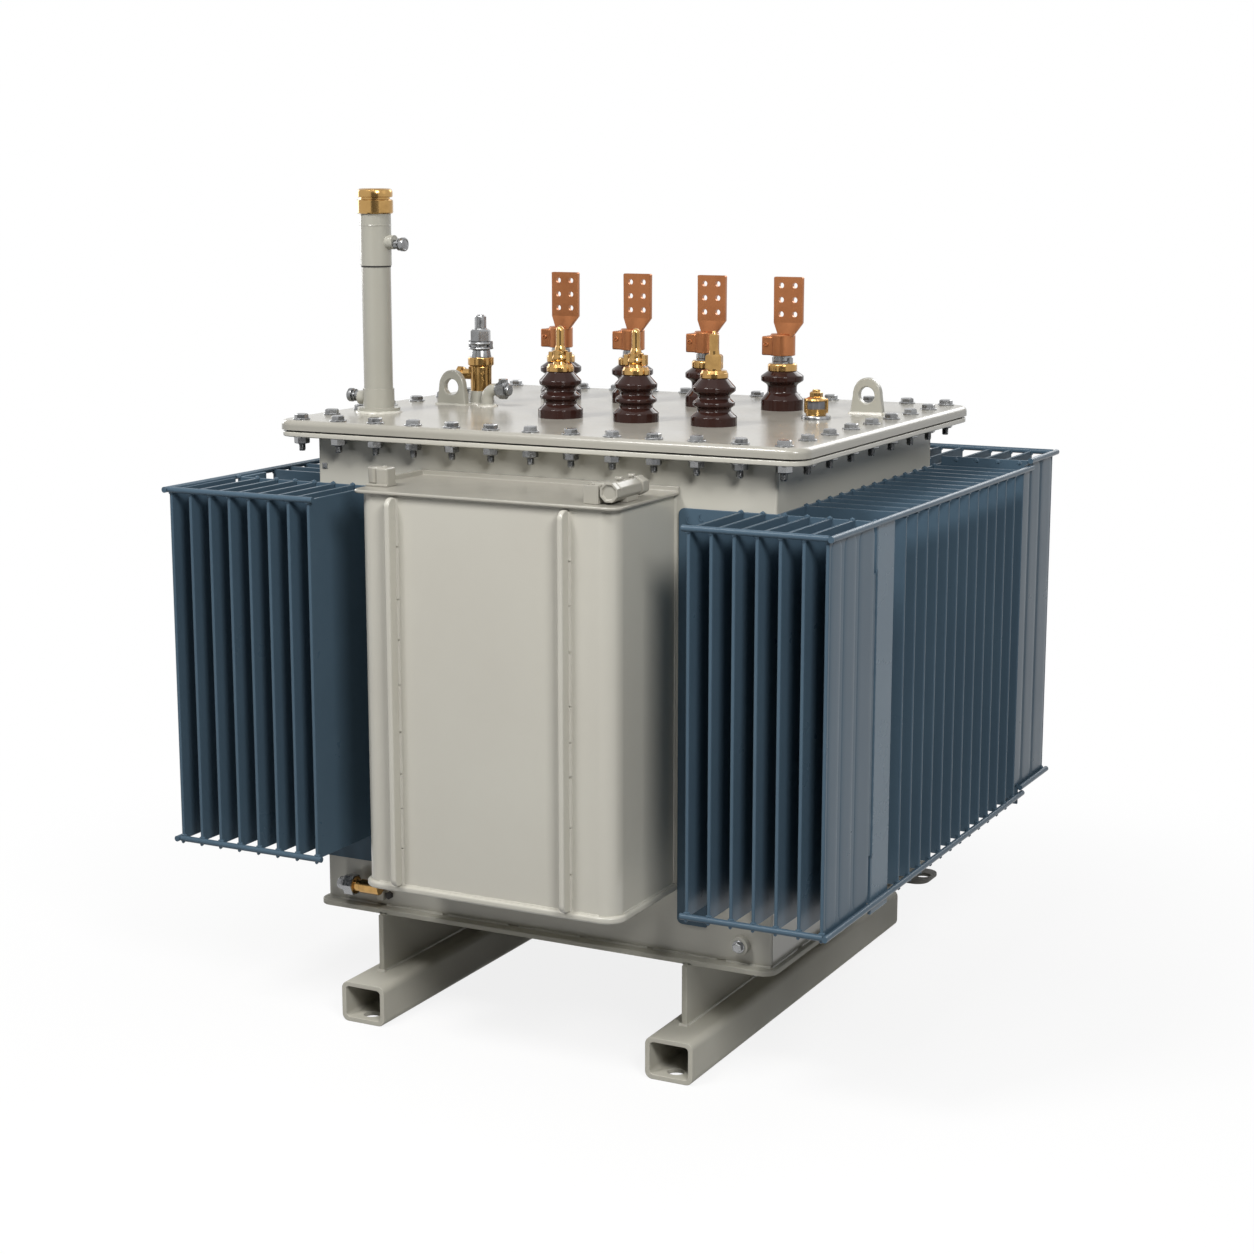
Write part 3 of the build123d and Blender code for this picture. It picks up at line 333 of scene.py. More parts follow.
speckle_share = ranged(paint_group, (speckle, "Fac"), 0.5, 0.85, 0.0, (paint_in, "Dust Amount"))
dusty = blended(paint_group, (speckle_share, 0), (cloud_colour, 2), (paint_in, "Dust"))
smear = noise(paint_group, paint_place, 7.0, 4.0, 0.6)
smear_gloss = ranged(paint_group, (smear, "Fac"), 0.3, 0.7, (paint_in, "Gloss Low"), (paint_in, "Gloss High"))
peel = noise(paint_group, paint_place, 190.0, 1.0)
wire(paint_group, (dusty, 2), (paint_out, "Colour"))
wire(paint_group, (smear_gloss, 0), (paint_out, "Roughness"))
wire(paint_group, (peel, "Fac"), (paint_out, "Height"))
print("node group", paint_group.name)

# %% [markdown]
# ## Bare metal
# Brass, copper and plated steel carry fine lines from the lathe or the rolling mill, and dull patches where
# they were handled. The lines are one noise, squeezed along its axes; the patches are another, left round.

# %% Metal group
metal_group, metal_in, metal_out = new_group(
    "bare_metal",
    (("Colour", "NodeSocketColor", GREY), ("Tarnish", "NodeSocketColor", GREY),
     ("Tarnish Amount", "NodeSocketFloat", 0.5), ("Stretch", "NodeSocketVector", (1, 1, 30)),
     ("Gloss Low", "NodeSocketFloat", 0.2), ("Gloss High", "NodeSocketFloat", 0.4)), group_outputs)
metal_place = (add_node(metal_group, "ShaderNodeTexCoord"), "Object")
metal_stretch = add_node(metal_group, "ShaderNodeVectorMath", operation="MULTIPLY")
wire(metal_group, metal_place, (metal_stretch, 0))
wire(metal_group, (metal_in, "Stretch"), (metal_stretch, 1))
patches = noise(metal_group, metal_place, 22.0, 4.0, 0.6)
patch_share = ranged(metal_group, (patches, "Fac"), 0.45, 0.75, 0.0, (metal_in, "Tarnish Amount"))
metal_colour = blended(metal_group, (patch_share, 0), (metal_in, "Colour"), (metal_in, "Tarnish"))
drawn = noise(metal_group, (metal_stretch, 0), 60.0, 3.0, 0.6)
drawn_gloss = ranged(metal_group, (drawn, "Fac"), 0.3, 0.7, (metal_in, "Gloss Low"), (metal_in, "Gloss High"))
wire(metal_group, (metal_colour, 2), (metal_out, "Colour"))
wire(metal_group, (drawn_gloss, 0), (metal_out, "Roughness"))
wire(metal_group, (drawn, "Fac"), (metal_out, "Height"))
print("node group", metal_group.name)

# %% [markdown]
# ## The finishes
# The tank wears warm light grey paint with a soft gloss. The lid and the pipework are painted darker, as
# painted shade, and the lid also carries a little dust. The frame is matt and the towing ears are painted
# dark as painted shade. The fins are satin slate blue, with a darker copy on the rear fins as painted shade
# and a lighter copy on the corner panels as painted light. The bushings are brown glazed porcelain, their
# fittings brass and copper, the bolts zinc plated. Each finish is one shader fed by a group; numbers that are
# the same all over are set on the shader itself.

# %% Finishes
# name: colour, shade, dust, dust amount, gloss from and to, relief strength and depth, specular level
paints = {
    "tank_paint": ((190, 188, 178), (186, 183, 173), (172, 167, 154), 0.05, 0.2, 0.26, 0.05, 0.0005, 0.5),
    # Lid, box lid, latch and clamp: darker than the tank paint as painted shade for the well-lit top, with a
    # little real dust.
    "lid_paint": ((163, 160, 151), (157, 154, 144), (144, 140, 128), 0.08, 0.18, 0.25, 0.05, 0.0005, 0.5),
    # Pipe, sleeve joint, lifting lugs, valve collar and elbow: darker than the tank paint as painted shade,
    # since they stand high near the lamps.
    "pipe_paint": ((166, 164, 154), (160, 158, 147), (148, 144, 132), 0.06, 0.18, 0.25, 0.05, 0.0005, 0.5),
    "frame_paint": ((184, 182, 171), (178, 175, 164), (164, 159, 146), 0.12, 0.5, 0.62, 0.06, 0.0006, 0.2),
    # Towing ears: painted dark as painted shade, with some real dust.
    "ear_paint": ((120, 119, 114), (108, 107, 102), (134, 130, 120), 0.2, 0.5, 0.6, 0.08, 0.0006, 0.2),
    "fin_paint": ((75, 95, 110), (70, 89, 104), (88, 104, 115), 0.06, 0.27, 0.33, 0.06, 0.0006, 0.14),
    # Corner panels: a lighter copy of the fin paint, as painted light for the sheen they catch.
    "panel_paint": ((90, 112, 128), (84, 105, 121), (100, 116, 127), 0.06, 0.24, 0.3, 0.06, 0.0006, 0.2),
    # Rear fins: a darker copy of the fin paint as painted shade; their rougher, less specular surface is
    # real.
    "rear_fin_paint": ((72, 90, 103), (67, 84, 97), (84, 98, 108), 0.08, 0.5, 0.6, 0.06, 0.0006, 0.12),
    "porcelain": ((50, 30, 26), (44, 26, 22), (68, 47, 41), 0.03, 0.05, 0.08, 0.01, 0.0004, 0.2),
    "gasket": ((44, 42, 40), (34, 33, 32), (80, 76, 70), 0.2, 0.6, 0.8, 0.2, 0.0006, 0.5)}
# name: colour, tarnish, tarnish amount, stretch of the lines, gloss from and to, relief, metallic share
metals = {
    "brass": ((184, 147, 92), (132, 100, 58), 0.65, (4, 4, 22), 0.14, 0.24, 0.015, 0.0004, 1.0),
    "copper": ((166, 109, 72), (146, 92, 60), 0.5, (3, 3, 30), 0.28, 0.46, 0.06, 0.0005, 1.0),
    "plated_steel": ((148, 149, 150), (94, 94, 94), 0.7, (2, 2, 2), 0.22, 0.34, 0.02, 0.0004, 1.0),
    "sight_glass": ((104, 104, 108), (66, 66, 70), 0.8, (9, 9, 1), 0.1, 0.2, 0.03, 0.0004, 0.3)}


def linear(channels):
    """A colour as a screen shows it, 0 to 255, made linear for a shader."""
    steps = [channel / 255 for channel in channels]
    return tuple(s / 12.92 if s <= 0.04045 else ((s + 0.055) / 1.055) ** 2.4 for s in steps) + (1.0,)


def finish_from(group, name, values, bump, bump_depth, settings):
    """A finish: one shader whose colour, gloss and fine relief come from a group with its own values."""
    finish = bpy.data.materials.new(name)
    finish.use_nodes = True
    tree = finish.node_tree
    shader = tree.nodes["Principled BSDF"]
    effect = add_node(tree, "ShaderNodeGroup", node_tree=group)
    set_sockets(effect, values)
    relief = add_node(tree, "ShaderNodeBump")
    set_sockets(relief, {"Strength": bump, "Distance": bump_depth})
    wire(tree, (effect, "Height"), (relief, "Height"))
    wire(tree, (effect, "Colour"), (shader, "Base Color"))
    wire(tree, (effect, "Roughness"), (shader, "Roughness"))
    wire(tree, (relief, "Normal"), (shader, "Normal"))
    set_sockets(shader, settings)
    return finish


finishes = {}
for name, (colour, shade, dust, amount, low, high, bump, depth, level) in paints.items():
    finishes[name] = finish_from(paint_group, name, {
        "Colour": linear(colour), "Shade": linear(shade), "Dust": linear(dust), "Dust Amount": amount,
        "Gloss Low": low, "Gloss High": high}, bump, depth, {"Specular IOR Level": level})
for name, (colour, tarnish, amount, stretch, low, high, bump, depth, share) in metals.items():
    finishes[name] = finish_from(metal_group, name, {
        "Colour": linear(colour), "Tarnish": linear(tarnish), "Tarnish Amount": amount, "Stretch": stretch,
        "Gloss Low": low, "Gloss High": high}, bump, depth, {"Metallic": share})
print(len(finishes), "finishes")

# %% [markdown]
# ## Finishes on the solids
# Most solids take the finish that their record names. A short list gives a few their own: matt paint for the
# frame, grey for the sight glass, and darker or lighter copies of their paint, as painted shade and painted
# light, for the lid, pipework, towing ears, rear fins and corner panels.

# %% Finishes on the solids
own_finish = {piece: finishes[name] for name, pieces in (
    ("frame_paint", ("skid_left", "skid_right", "skid_webs", "base_plate")),
    ("lid_paint", ("lid", "box_lid", "box_latch", "box_clamp")),
    ("pipe_paint", ("fill_pipe", "sleeve_joint", "lifting_lugs", "valve_collar", "vent_elbow")),
    ("rear_fin_paint", ("rear_fins",)), ("ear_paint", ("towing_lugs",)), ("sight_glass", ("relief_glass",)),
    ("panel_paint", ("corner_panels",))) for piece in pieces}
slot_of = {row["node"]: row["material_slot"] for row in frame["record"]["subparts"]}
for name, slot in slot_of.items():
    nodes[name].data.materials.clear()
    nodes[name].data.materials.append(own_finish.get(name, finishes[slot]))
print("finishes on", len(slot_of), "solids")

# %% [markdown]
# ## Helpers for new pieces
# Each new piece is a bmesh that becomes one object, with its place in its mesh. Small shapes that repeat,
# such as bolts, are made once and stamped into the piece at every place. Edges sharper than a set angle
# stay crisp.

# %% Helpers for pieces
CRISP = math.radians(34)
SAME = 1e-6
ALONG = 0.999


def placed(place, direction=UP, turn=0.0):
    """A matrix that stands a shape made along +Z on a place, along a direction, turned about it."""
    lean = UP.rotation_difference(Vector(direction)).to_matrix().to_4x4()
    return Matrix.Translation(place) @ lean @ Matrix.Rotation(turn, 4, "Z")


def moved(shape, step):
    """Shift a whole bmesh."""
    bmesh.ops.translate(shape, verts=shape.verts, vec=step)
    return shape


def stood(shape, place, direction=UP, turn=0.0):
    """Stand a whole bmesh, made along +Z, on a place."""
    bmesh.ops.transform(shape, matrix=placed(place, direction, turn), verts=shape.verts)
    return shape


def swung(shape, angle):
    """Turn a whole bmesh about the Z axis."""
    bmesh.ops.rotate(shape, verts=shape.verts, matrix=Matrix.Rotation(angle, 3, "Z"))
    return shape


def tidy(shape):
    """Merge doubles and point every face outwards."""
    bmesh.ops.remove_doubles(shape, verts=shape.verts, dist=SAME)
    bmesh.ops.recalc_face_normals(shape, faces=shape.faces)
    return shape


def pattern(shape, name):
    """A tidy mesh to stamp, made from a bmesh."""
    mesh = bpy.data.meshes.new(name)
    tidy(shape).to_mesh(mesh)
    shape.free()
    return mesh


def stamp(shape, mesh, placements):
    """Copy a pattern into a shape at each placement."""
    for placement in placements:
        copy = mesh.copy()
        copy.transform(placement)
        shape.from_mesh(copy)
        bpy.data.meshes.remove(copy)


def merge(target, source):
    """Move all of one bmesh into another."""
    mesh = pattern(source, "joined")
    target.from_mesh(mesh)
    bpy.data.meshes.remove(mesh)


def keep(shape, name, slot, replaced=(), flat_way=None):
    """Make a bmesh a piece of the transformer, in one of its finishes; faces along a way may stay flat."""
    piece = mesh_object(shape, name)
    mesh = piece.data
    mesh.shade_smooth()
    mesh.set_sharp_from_angle(angle=CRISP)
    mesh.materials.append(own_finish.get(replaced[0] if replaced else name, finishes[slot]))
    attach(piece, "root")
    if replaced:
        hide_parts(*replaced)
    if flat_way:
        for polygon in mesh.polygons:
            polygon.use_smooth = abs(polygon.normal.dot(flat_way)) < ALONG
    else:
        shading = piece.modifiers.new("even_shading", "WEIGHTED_NORMAL")
        shading.keep_sharp = True
    print(name, len(mesh.polygons), "faces")
    return piece


print("helpers for pieces ready")

# %% [markdown]
# ## Helpers for shapes
# Most fittings come off a lathe or are cut from bar, so a few shapes make nearly all of them: an outline
# spun about an axis, a bar with flat sides, a hexagon and a box with rounded edges. One more helper spaces
# things evenly in a row.

# %% Helpers for shapes


def turned(outline, steps=40):
    """A turned shape: an outline of (radius, height) points spun about the Z axis."""
    shape = bmesh.new()
    corners = [shape.verts.new((radius, 0, height)) for radius, height in outline]
    edges = [shape.edges.new(pair) for pair in zip(corners, corners[1:])]
    bmesh.ops.spin(shape, geom=corners + edges, cent=(0, 0, 0), axis=UP, angle=2 * math.pi, steps=steps,
                   use_merge=True)
    return tidy(shape)


def bevelled(shape, edges, width, segments=2):
    """Bevel edges with a round profile."""
    bmesh.ops.bevel(shape, geom=edges, offset=width, affect="EDGES", segments=segments, profile=0.5,
                    material=-1)
    return shape


def flat_sided(sides, across, length, turn=0.0):
    """A bar with flat sides, standing on z 0."""
    shape = bmesh.new()
    radius = across / 2 / math.cos(math.pi / sides)
    bmesh.ops.create_cone(shape, cap_ends=True, segments=sides, radius1=radius, radius2=radius, depth=length)
    return stood(shape, (0, 0, length / 2), UP, turn)


def hexagon(across, height, chamfer):
    """A six-sided head standing on z 0, with chamfered upper corners."""
    shape = flat_sided(6, across, height)
    upper = [edge for edge in shape.edges if min(vert.co.z for vert in edge.verts) > height * 0.9]
    return bevelled(shape, upper, chamfer, 1)


def block(low, high, width, segments=2):
    """A box between two corners with rounded edges."""
    shape = bmesh.new()
    bmesh.ops.create_cube(shape, size=1.0)
    low, high = Vector(low), Vector(high)
    bmesh.ops.scale(shape, verts=shape.verts, vec=high - low)
    return bevelled(moved(shape, (low + high) / 2), list(shape.edges), width, segments)


def spread(first, last, count):
    """Evenly spaced values from first to last."""
    return [first + (last - first) * i / (count - 1) for i in range(count)]


print("helpers for shapes ready")

# %% [markdown]
# ## Lid bolts
# Forty bolts clamp the lid to the flange: a head on a washer above, a nut with a bolt's end below. They
# could be an array modifier, but the rows have different pitches, so one bolt is made and stamped at every
# place.

# %% Lid bolts
lid_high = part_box("lid")[1]
flange_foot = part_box("tank_flange_long_bars")[0].z
bolt_x = 0.625
bolt_y = 0.515
front_bolts = 13
side_bolts = 9
bolt_places = [(x, y) for x in spread(-bolt_x, bolt_x, front_bolts) for y in (-bolt_y, bolt_y)]
bolt_places += [(x, y) for y in spread(-bolt_y, bolt_y, side_bolts)[1:-1] for x in (-bolt_x, bolt_x)]

washer_height = 0.0038
head_shape = turned(((0, 0), (0.0205, 0), (0.0205, 0.0028), (0.0196, washer_height), (0, washer_height)), 28)
merge(head_shape, moved(hexagon(0.029, 0.010, 0.0022), (0, 0, washer_height)))
bolt_head = pattern(head_shape, "bolt_head")
nut_height = 0.017
thread_pitch = 0.002
nut_shape = hexagon(0.032, nut_height, 0.0018)
merge(nut_shape, turned(((0, 0), (0.0195, 0), (0.0195, 0.003), (0, 0.003)), 28))
thread = [(0, 0), (0.008, 0)]
for i in range(8):
    thread += [(0.0085, nut_height + thread_pitch * i), (0.0076, nut_height + thread_pitch * (i + 0.5))]
thread += [(0.0066, 0.0345), (0, 0.0345)]
merge(nut_shape, turned(thread, 16))
bolt_nut = pattern(nut_shape, "bolt_nut")

spin_dice = random.Random(7)
heads = bmesh.new()
nuts = bmesh.new()
for x, y in bolt_places:
    stamp(heads, bolt_head, [placed((x, y, lid_high.z), UP, spin_dice.uniform(0, math.pi))])
    stamp(nuts, bolt_nut, [placed((x, y, flange_foot), -UP, spin_dice.uniform(0, math.pi))])
keep(heads, "lid_bolt_heads", "plated_steel")
keep(nuts, "lid_bolt_nuts", "plated_steel")

# %% [markdown]
# ## Rounded plates
# Real plate is cut and ground, and no edge is knife sharp: the thin bright line along an edge is what makes
# it read as steel. A bevel modifier would do, but the solids are loose triangles, so each plate is copied,
# merged and flattened into whole faces first, and then only its sharp edges are bevelled. The sides of the
# lifting lugs also lean in towards their round tops, round an eye that stays as it is.

# %% Rounded plates
FLAT = math.radians(0.5)
SHARP = math.radians(40)
edge_widths = {"tank_flange_long_bars": 0.0025, "tank_flange_short_bars": 0.0025, "towing_lugs": 0.002,
               "lifting_lugs": 0.003, "skid_left": 0.002, "skid_right": 0.002, "skid_webs": 0.0025,
               "box_lid": 0.003, "box_ribs": 0.004, "front_left_header": 0.0015, "front_right_header": 0.0015,
               "left_side_header": 0.0015, "right_side_header": 0.0015, "rear_header": 0.0015,
               "corner_panels": 0.002, "side_end_plates": 0.0015, "front_left_fins": 0.0012,
               "front_right_fins": 0.0012, "left_side_fins": 0.0012, "right_side_fins": 0.0012,
               "rear_fins": 0.0012, "earth_boss": 0.002, "tank_front_wall": 0.004, "tank_rear_wall": 0.004}
lug_half = 0.0425
lug_lean_share = 0.85
lug_foot = 0.02
lug_rim = 0.03
lug_low, lug_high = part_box("lifting_lugs")
lug_middles = (lug_low.x + lug_half, lug_high.x - lug_half)


def copied(name):
    """A merged copy of a solid, with its flat faces whole again."""
    shape = bmesh.new()
    shape.from_mesh(nodes[name].data)
    bmesh.ops.remove_doubles(shape, verts=shape.verts, dist=SAME)
    bmesh.ops.dissolve_limit(shape, angle_limit=FLAT, verts=shape.verts, edges=shape.edges)
    return shape


def sharp_edges(shape):
    """The edges where two faces meet at more than the sharp angle."""
    return [edge for edge in shape.edges if edge.is_manifold and edge.calc_face_angle(0.0) > SHARP]


def lean_in(plate):
    """Lean the upper sides of both lifting lugs in; their feet and eyes stay as they are."""
    for x in lug_middles:
        upper = [vert for vert in plate.verts if vert.co.z > lug_low.z + lug_foot
                 and lug_rim < math.hypot(vert.co.x - x, vert.co.z - lug_high.z + lug_half) < 2 * lug_half]
        bmesh.ops.scale(plate, verts=upper, vec=(lug_lean_share, 1, 1), space=Matrix.Translation((-x, 0, 0)))


for name, width in edge_widths.items():
    plate = copied(name)
    if name == "lifting_lugs":
        lean_in(plate)
    keep(bevelled(plate, sharp_edges(plate), width), name + "_rounded", slot_of[name], (name,))

# %% [markdown]
# ## Weld beads
# Everything on the tank is welded: webs to skids, walls to the base plate, rods to fins. A bead is a rod
# with ripples, as the welder's hand moves in steps. Displacing a dense mesh would be slow, so each bead is
# a thin cylinder cut into short rings, and every ring is made a little wider or narrower.

# %% Weld beads
weld_dice = random.Random(11)
BEAD_STEP = 0.009
BEAD_SIDES = 8


def bead(shape, start, end, radius):
    """A straight rippled bead between two points."""
    start, end = Vector(start), Vector(end)
    run = end - start
    rod = bmesh.new()
    bmesh.ops.create_cone(rod, cap_ends=True, segments=BEAD_SIDES, radius1=radius, radius2=radius,
                          depth=run.length)
    along = [edge for edge in rod.edges if abs(edge.verts[0].co.z - edge.verts[1].co.z) > radius]
    bmesh.ops.subdivide_edges(rod, edges=along, cuts=max(int(run.length / BEAD_STEP), 2))
    rings = {}
    for vert in rod.verts:
        height = round(vert.co.z, 5)
        if height not in rings:
            rings[height] = weld_dice.uniform(0.82, 1.15)
        vert.co.x *= rings[height]
        vert.co.y *= rings[height]
    merge(shape, stood(rod, (start + end) / 2, run))


def broken_bead(shape, start, end, radius, length, gap):
    """A bead laid in stitches with gaps between them."""
    start, end = Vector(start), Vector(end)
    run = end - start
    reach = 0.0
    while reach < run.length - gap:
        stop = min(reach + length * weld_dice.uniform(0.7, 1.2), run.length)
        bead(shape, start + run.normalized() * reach, start + run.normalized() * stop, radius)
        reach = stop + gap * weld_dice.uniform(0.6, 1.4)


web_low, web_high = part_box("skid_webs")
web_half = 0.007
web_bead = 0.0038
web_end_bead = 0.005
web_end_reach = web_half + 0.004
base_low, base_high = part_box("base_plate")
tank_low, tank_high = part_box("tank_front_wall")
tank_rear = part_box("tank_rear_wall")[1].y
foot_bead = 0.0036
foot_stitch = 0.16
foot_gap = 0.02
mouth_bead = 0.004
frame_welds = bmesh.new()
for x in (web_low.x + web_half, web_high.x - web_half):
    for side in (-web_half, web_half):
        bead(frame_welds, (x + side, web_low.y, web_low.z), (x + side, web_high.y, web_low.z), web_bead)
        bead(frame_welds, (x + side, base_low.y, base_low.z), (x + side, base_high.y, base_low.z), web_bead)
    for y in (web_low.y, web_high.y):
        bead(frame_welds, (x - web_end_reach, y, web_low.z), (x + web_end_reach, y, web_low.z), web_end_bead)
tank_corners = [(tank_low.x, tank_low.y), (tank_high.x, tank_low.y), (tank_low.x, tank_rear),
                (tank_high.x, tank_rear)]
for first, last in ((0, 1), (2, 3), (0, 2), (1, 3)):
    start, end = tank_corners[first], tank_corners[last]
    broken_bead(frame_welds, (*start, base_high.z), (*end, base_high.z), foot_bead, foot_stitch, foot_gap)
    bead(frame_welds, (*start, flange_foot), (*end, flange_foot), mouth_bead)
keep(frame_welds, "tank_weld_beads", "tank_paint")

# %% [markdown]
# ## Weld beads on the box
# The front box is bent from sheet and welded to the tank along its rear edges, and its floor is welded in
# from below. Its ribs are held by short stitches. The same two functions lay all of these beads.

# %% Weld beads on the box
box_low, box_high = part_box("box_shell")
rib_low, rib_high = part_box("box_ribs")
rib_thickness = 0.014
box_corner = 0.04
box_bead = 0.0032
rib_bead = 0.0042
rib_stitch = 0.1
rib_gap = 0.004
box_welds = bmesh.new()
for x in (box_low.x, box_high.x):
    bead(box_welds, (x, box_high.y, box_low.z), (x, box_high.y, box_high.z), box_bead)
    bead(box_welds, (x, box_high.y, box_low.z), (x, box_low.y + box_corner, box_low.z), box_bead)
bead(box_welds, (box_low.x + box_corner, box_low.y, box_low.z),
     (box_high.x - box_corner, box_low.y, box_low.z), box_bead)
for rib in (rib_low.x, rib_high.x - rib_thickness):
    for x in (rib, rib + rib_thickness):
        broken_bead(box_welds, (x, box_low.y, rib_low.z), (x, box_low.y, rib_high.z), rib_bead, rib_stitch,
                    rib_gap)
keep(box_welds, "box_weld_beads", "tank_paint")

# %% [markdown]
# ## Welds on the fins
# Where a rod crosses a fin there is a small blob of weld on each side, and a drop under the lower rod.
# Hundreds of them show as bright dots along the rods. Each is one small ball with few faces, stamped at
# every crossing.

# %% Fin welds
half_fin = 0.004
front_fin_counts = {"front_left_fins": 8, "front_right_fins": 7}
side_fin_count = 13
rear_fin_count = 21
rear_end_fins = 4
rear_end_pitch = 0.0552
rear_edge = 0.012
fin_points = []
for name, count in front_fin_counts.items():
    low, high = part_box(name)
    fin_points += [(x, low.y, low.z, high.z, (0, 1), high.y)
                   for x in spread(low.x + half_fin, high.x - half_fin, count)]
for name, edge in (("left_side_fins", 0), ("right_side_fins", 1)):
    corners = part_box(name)
    fin_points += [(corners[edge].x, y, corners[0].z, corners[1].z, (1 - 2 * edge, 0), corners[1 - edge].x)
                   for y in spread(corners[0].y + half_fin, corners[1].y - half_fin, side_fin_count)]
rear_low, rear_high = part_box("rear_fins")
rear_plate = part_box("rear_header")[1]
rear_places = spread(rear_edge - rear_plate.x, rear_plate.x - rear_edge, rear_fin_count)
rear_places += [side * (rear_high.x - half_fin - rear_end_pitch * i) for side in (-1, 1)
                for i in range(rear_end_fins)]
fin_points += [(x, rear_high.y, rear_low.z, rear_high.z, (0, -1), rear_plate.y) for x in rear_places]

drop_shape = bmesh.new()
bmesh.ops.create_icosphere(drop_shape, subdivisions=1, radius=1.0)
weld_drop = pattern(drop_shape, "weld_drop")
joint_drop = (0.0085, 0.0085, 0.0075)
drip_drop = (0.005, 0.005, 0.006)
root_drop = (0.007, 0.007, 0.006)
rod_inset = 0.006
drip_reach = 0.007


def drop(shape, spot, size):
    """A blob of weld of a given size on a spot."""
    stamp(shape, weld_drop, [Matrix.Translation(spot) @ Matrix.Diagonal((*size, 1))])


fin_welds = bmesh.new()
for x, y, bottom, top, inward, root in fin_points:
    crossing = Vector((x, y, 0))
    behind = crossing + Vector((*inward, 0)) * half_fin
    back = Vector((root, y, top)) if inward[0] else Vector((x, root, top))
    drop(fin_welds, behind + UP * (top - rod_inset), joint_drop)
    drop(fin_welds, behind + UP * (bottom + rod_inset), joint_drop)
    drop(fin_welds, crossing + UP * (bottom - drip_reach), drip_drop)
    drop(fin_welds, back, root_drop)
keep(fin_welds, "fin_weld_drops", "fin_paint")

# %% [markdown]
# ## Pressed bands on the outer fins
# The face of each outermost fin is pressed into broad shallow bands that keep the sheet stiff. A bump
# texture would vanish in profile, so the bands are thin plates with wide soft edges, laid on the fin.

# %% Pressed bands
band_height = 0.0014
band_margin = 0.008
band_half = 0.024
band_edge = 0.023
front_bands = ((-0.752, -0.694), (-0.678, -0.612), (-0.596, -0.508))
rear_bands = ((0.508, 0.566), (0.580, 0.652), (0.666, 0.752))
front_low, front_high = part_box("front_right_fins")
bands = bmesh.new()
for side in (-1, 1):
    for spans, bottom, top in ((front_bands, front_low.z, front_high.z),
                               (rear_bands, rear_low.z, rear_high.z)):
        for near, far in spans:
            plate = block((-band_half, near, bottom + band_margin), (band_half, far, top - band_margin),
                          band_edge, 5)
            bmesh.ops.scale(plate, verts=plate.verts, vec=(band_height / band_half, 1, 1))
            merge(bands, moved(plate, (side * front_high.x, 0, 0)))
keep(bands, "fin_pressed_bands", "fin_paint")

# %% [markdown]
# ## Seams and loops on the fin banks
# Where the outermost fin meets the corner panel the sheets are joined by one long weld between the two
# slots, a straight bead with a drop at each end. Two small wire loops stand on the right back plate. They
# are thin turned rings, squeezed to ovals.

# %% Seams and loops
slot_height = 0.110
seam_inset = 0.003
seam_bead = 0.0026
seam_drop = (0.004, 0.006, 0.009)
panel_low, panel_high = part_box("corner_panels")
seam_y = panel_low.y - seam_inset
seam_ends = (front_low.z + slot_height, front_high.z - slot_height)
seams = bmesh.new()
for x in (panel_low.x, panel_high.x):
    bead(seams, (x, seam_y, seam_ends[0]), (x, seam_y, seam_ends[1]), seam_bead)
    for z in seam_ends:
        drop(seams, (x, seam_y, z), seam_drop)
keep(seams, "fin_seam_beads", "fin_paint")

loop_outline = ((0.0046, -0.0012), (0.0062, -0.0012), (0.0062, 0.0012), (0.0046, 0.0012), (0.0046, -0.0012))
loop_oval = (1, 1.5, 1)
loop_way = (0.25, -1, 0.1)
loop_turn = math.radians(20)
loop_insets = ((0.026, 0.026), (0.056, 0.018))
plate_low, plate_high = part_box("front_right_header")
loop_ring = turned(loop_outline, 16)
bmesh.ops.scale(loop_ring, verts=loop_ring.verts, vec=loop_oval)
wire_loop = pattern(loop_ring, "wire_loop")
loops = bmesh.new()
stamp(loops, wire_loop, [placed((plate_low.x + across, plate_low.y, plate_high.z - down), loop_way, loop_turn)
                         for across, down in loop_insets])
keep(loops, "plate_loops", "fin_paint")

# %% [markdown]
# ## Porcelain
# The bushings are thrown and glazed porcelain, so their outlines have no sharp corner. The solids are round
# but coarse, and a glaze shows every flat, so each bushing is spun again with more steps, from an outline
# with arcs at its corners.

# %% Porcelain


def eased(points, radii, steps=6):
    """An outline whose corners are replaced by arcs of the given radii."""
    outline = []
    for i, (point, radius) in enumerate(zip(points, radii)):
        here = Vector(point)
        if not radius:
            outline.append(tuple(here))
            continue
        back = (Vector(points[i - 1]) - here).normalized()
        ahead = (Vector(points[i + 1]) - here).normalized()
        half_angle = back.angle(ahead) / 2
        reach = radius / math.tan(half_angle)
        centre = here + (back + ahead).normalized() * radius / math.sin(half_angle)
        first, last = here + back * reach - centre, here + ahead * reach - centre
        outline += [tuple(centre + first.slerp(last, step / steps) * radius) for step in range(steps + 1)]
    return outline


def middle_of(name, height):
    """The middle of a solid's box, at its foot (0) or its top (1)."""
    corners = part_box(name)
    return Vector(((corners[0].x + corners[1].x) / 2, (corners[0].y + corners[1].y) / 2, corners[height].z))


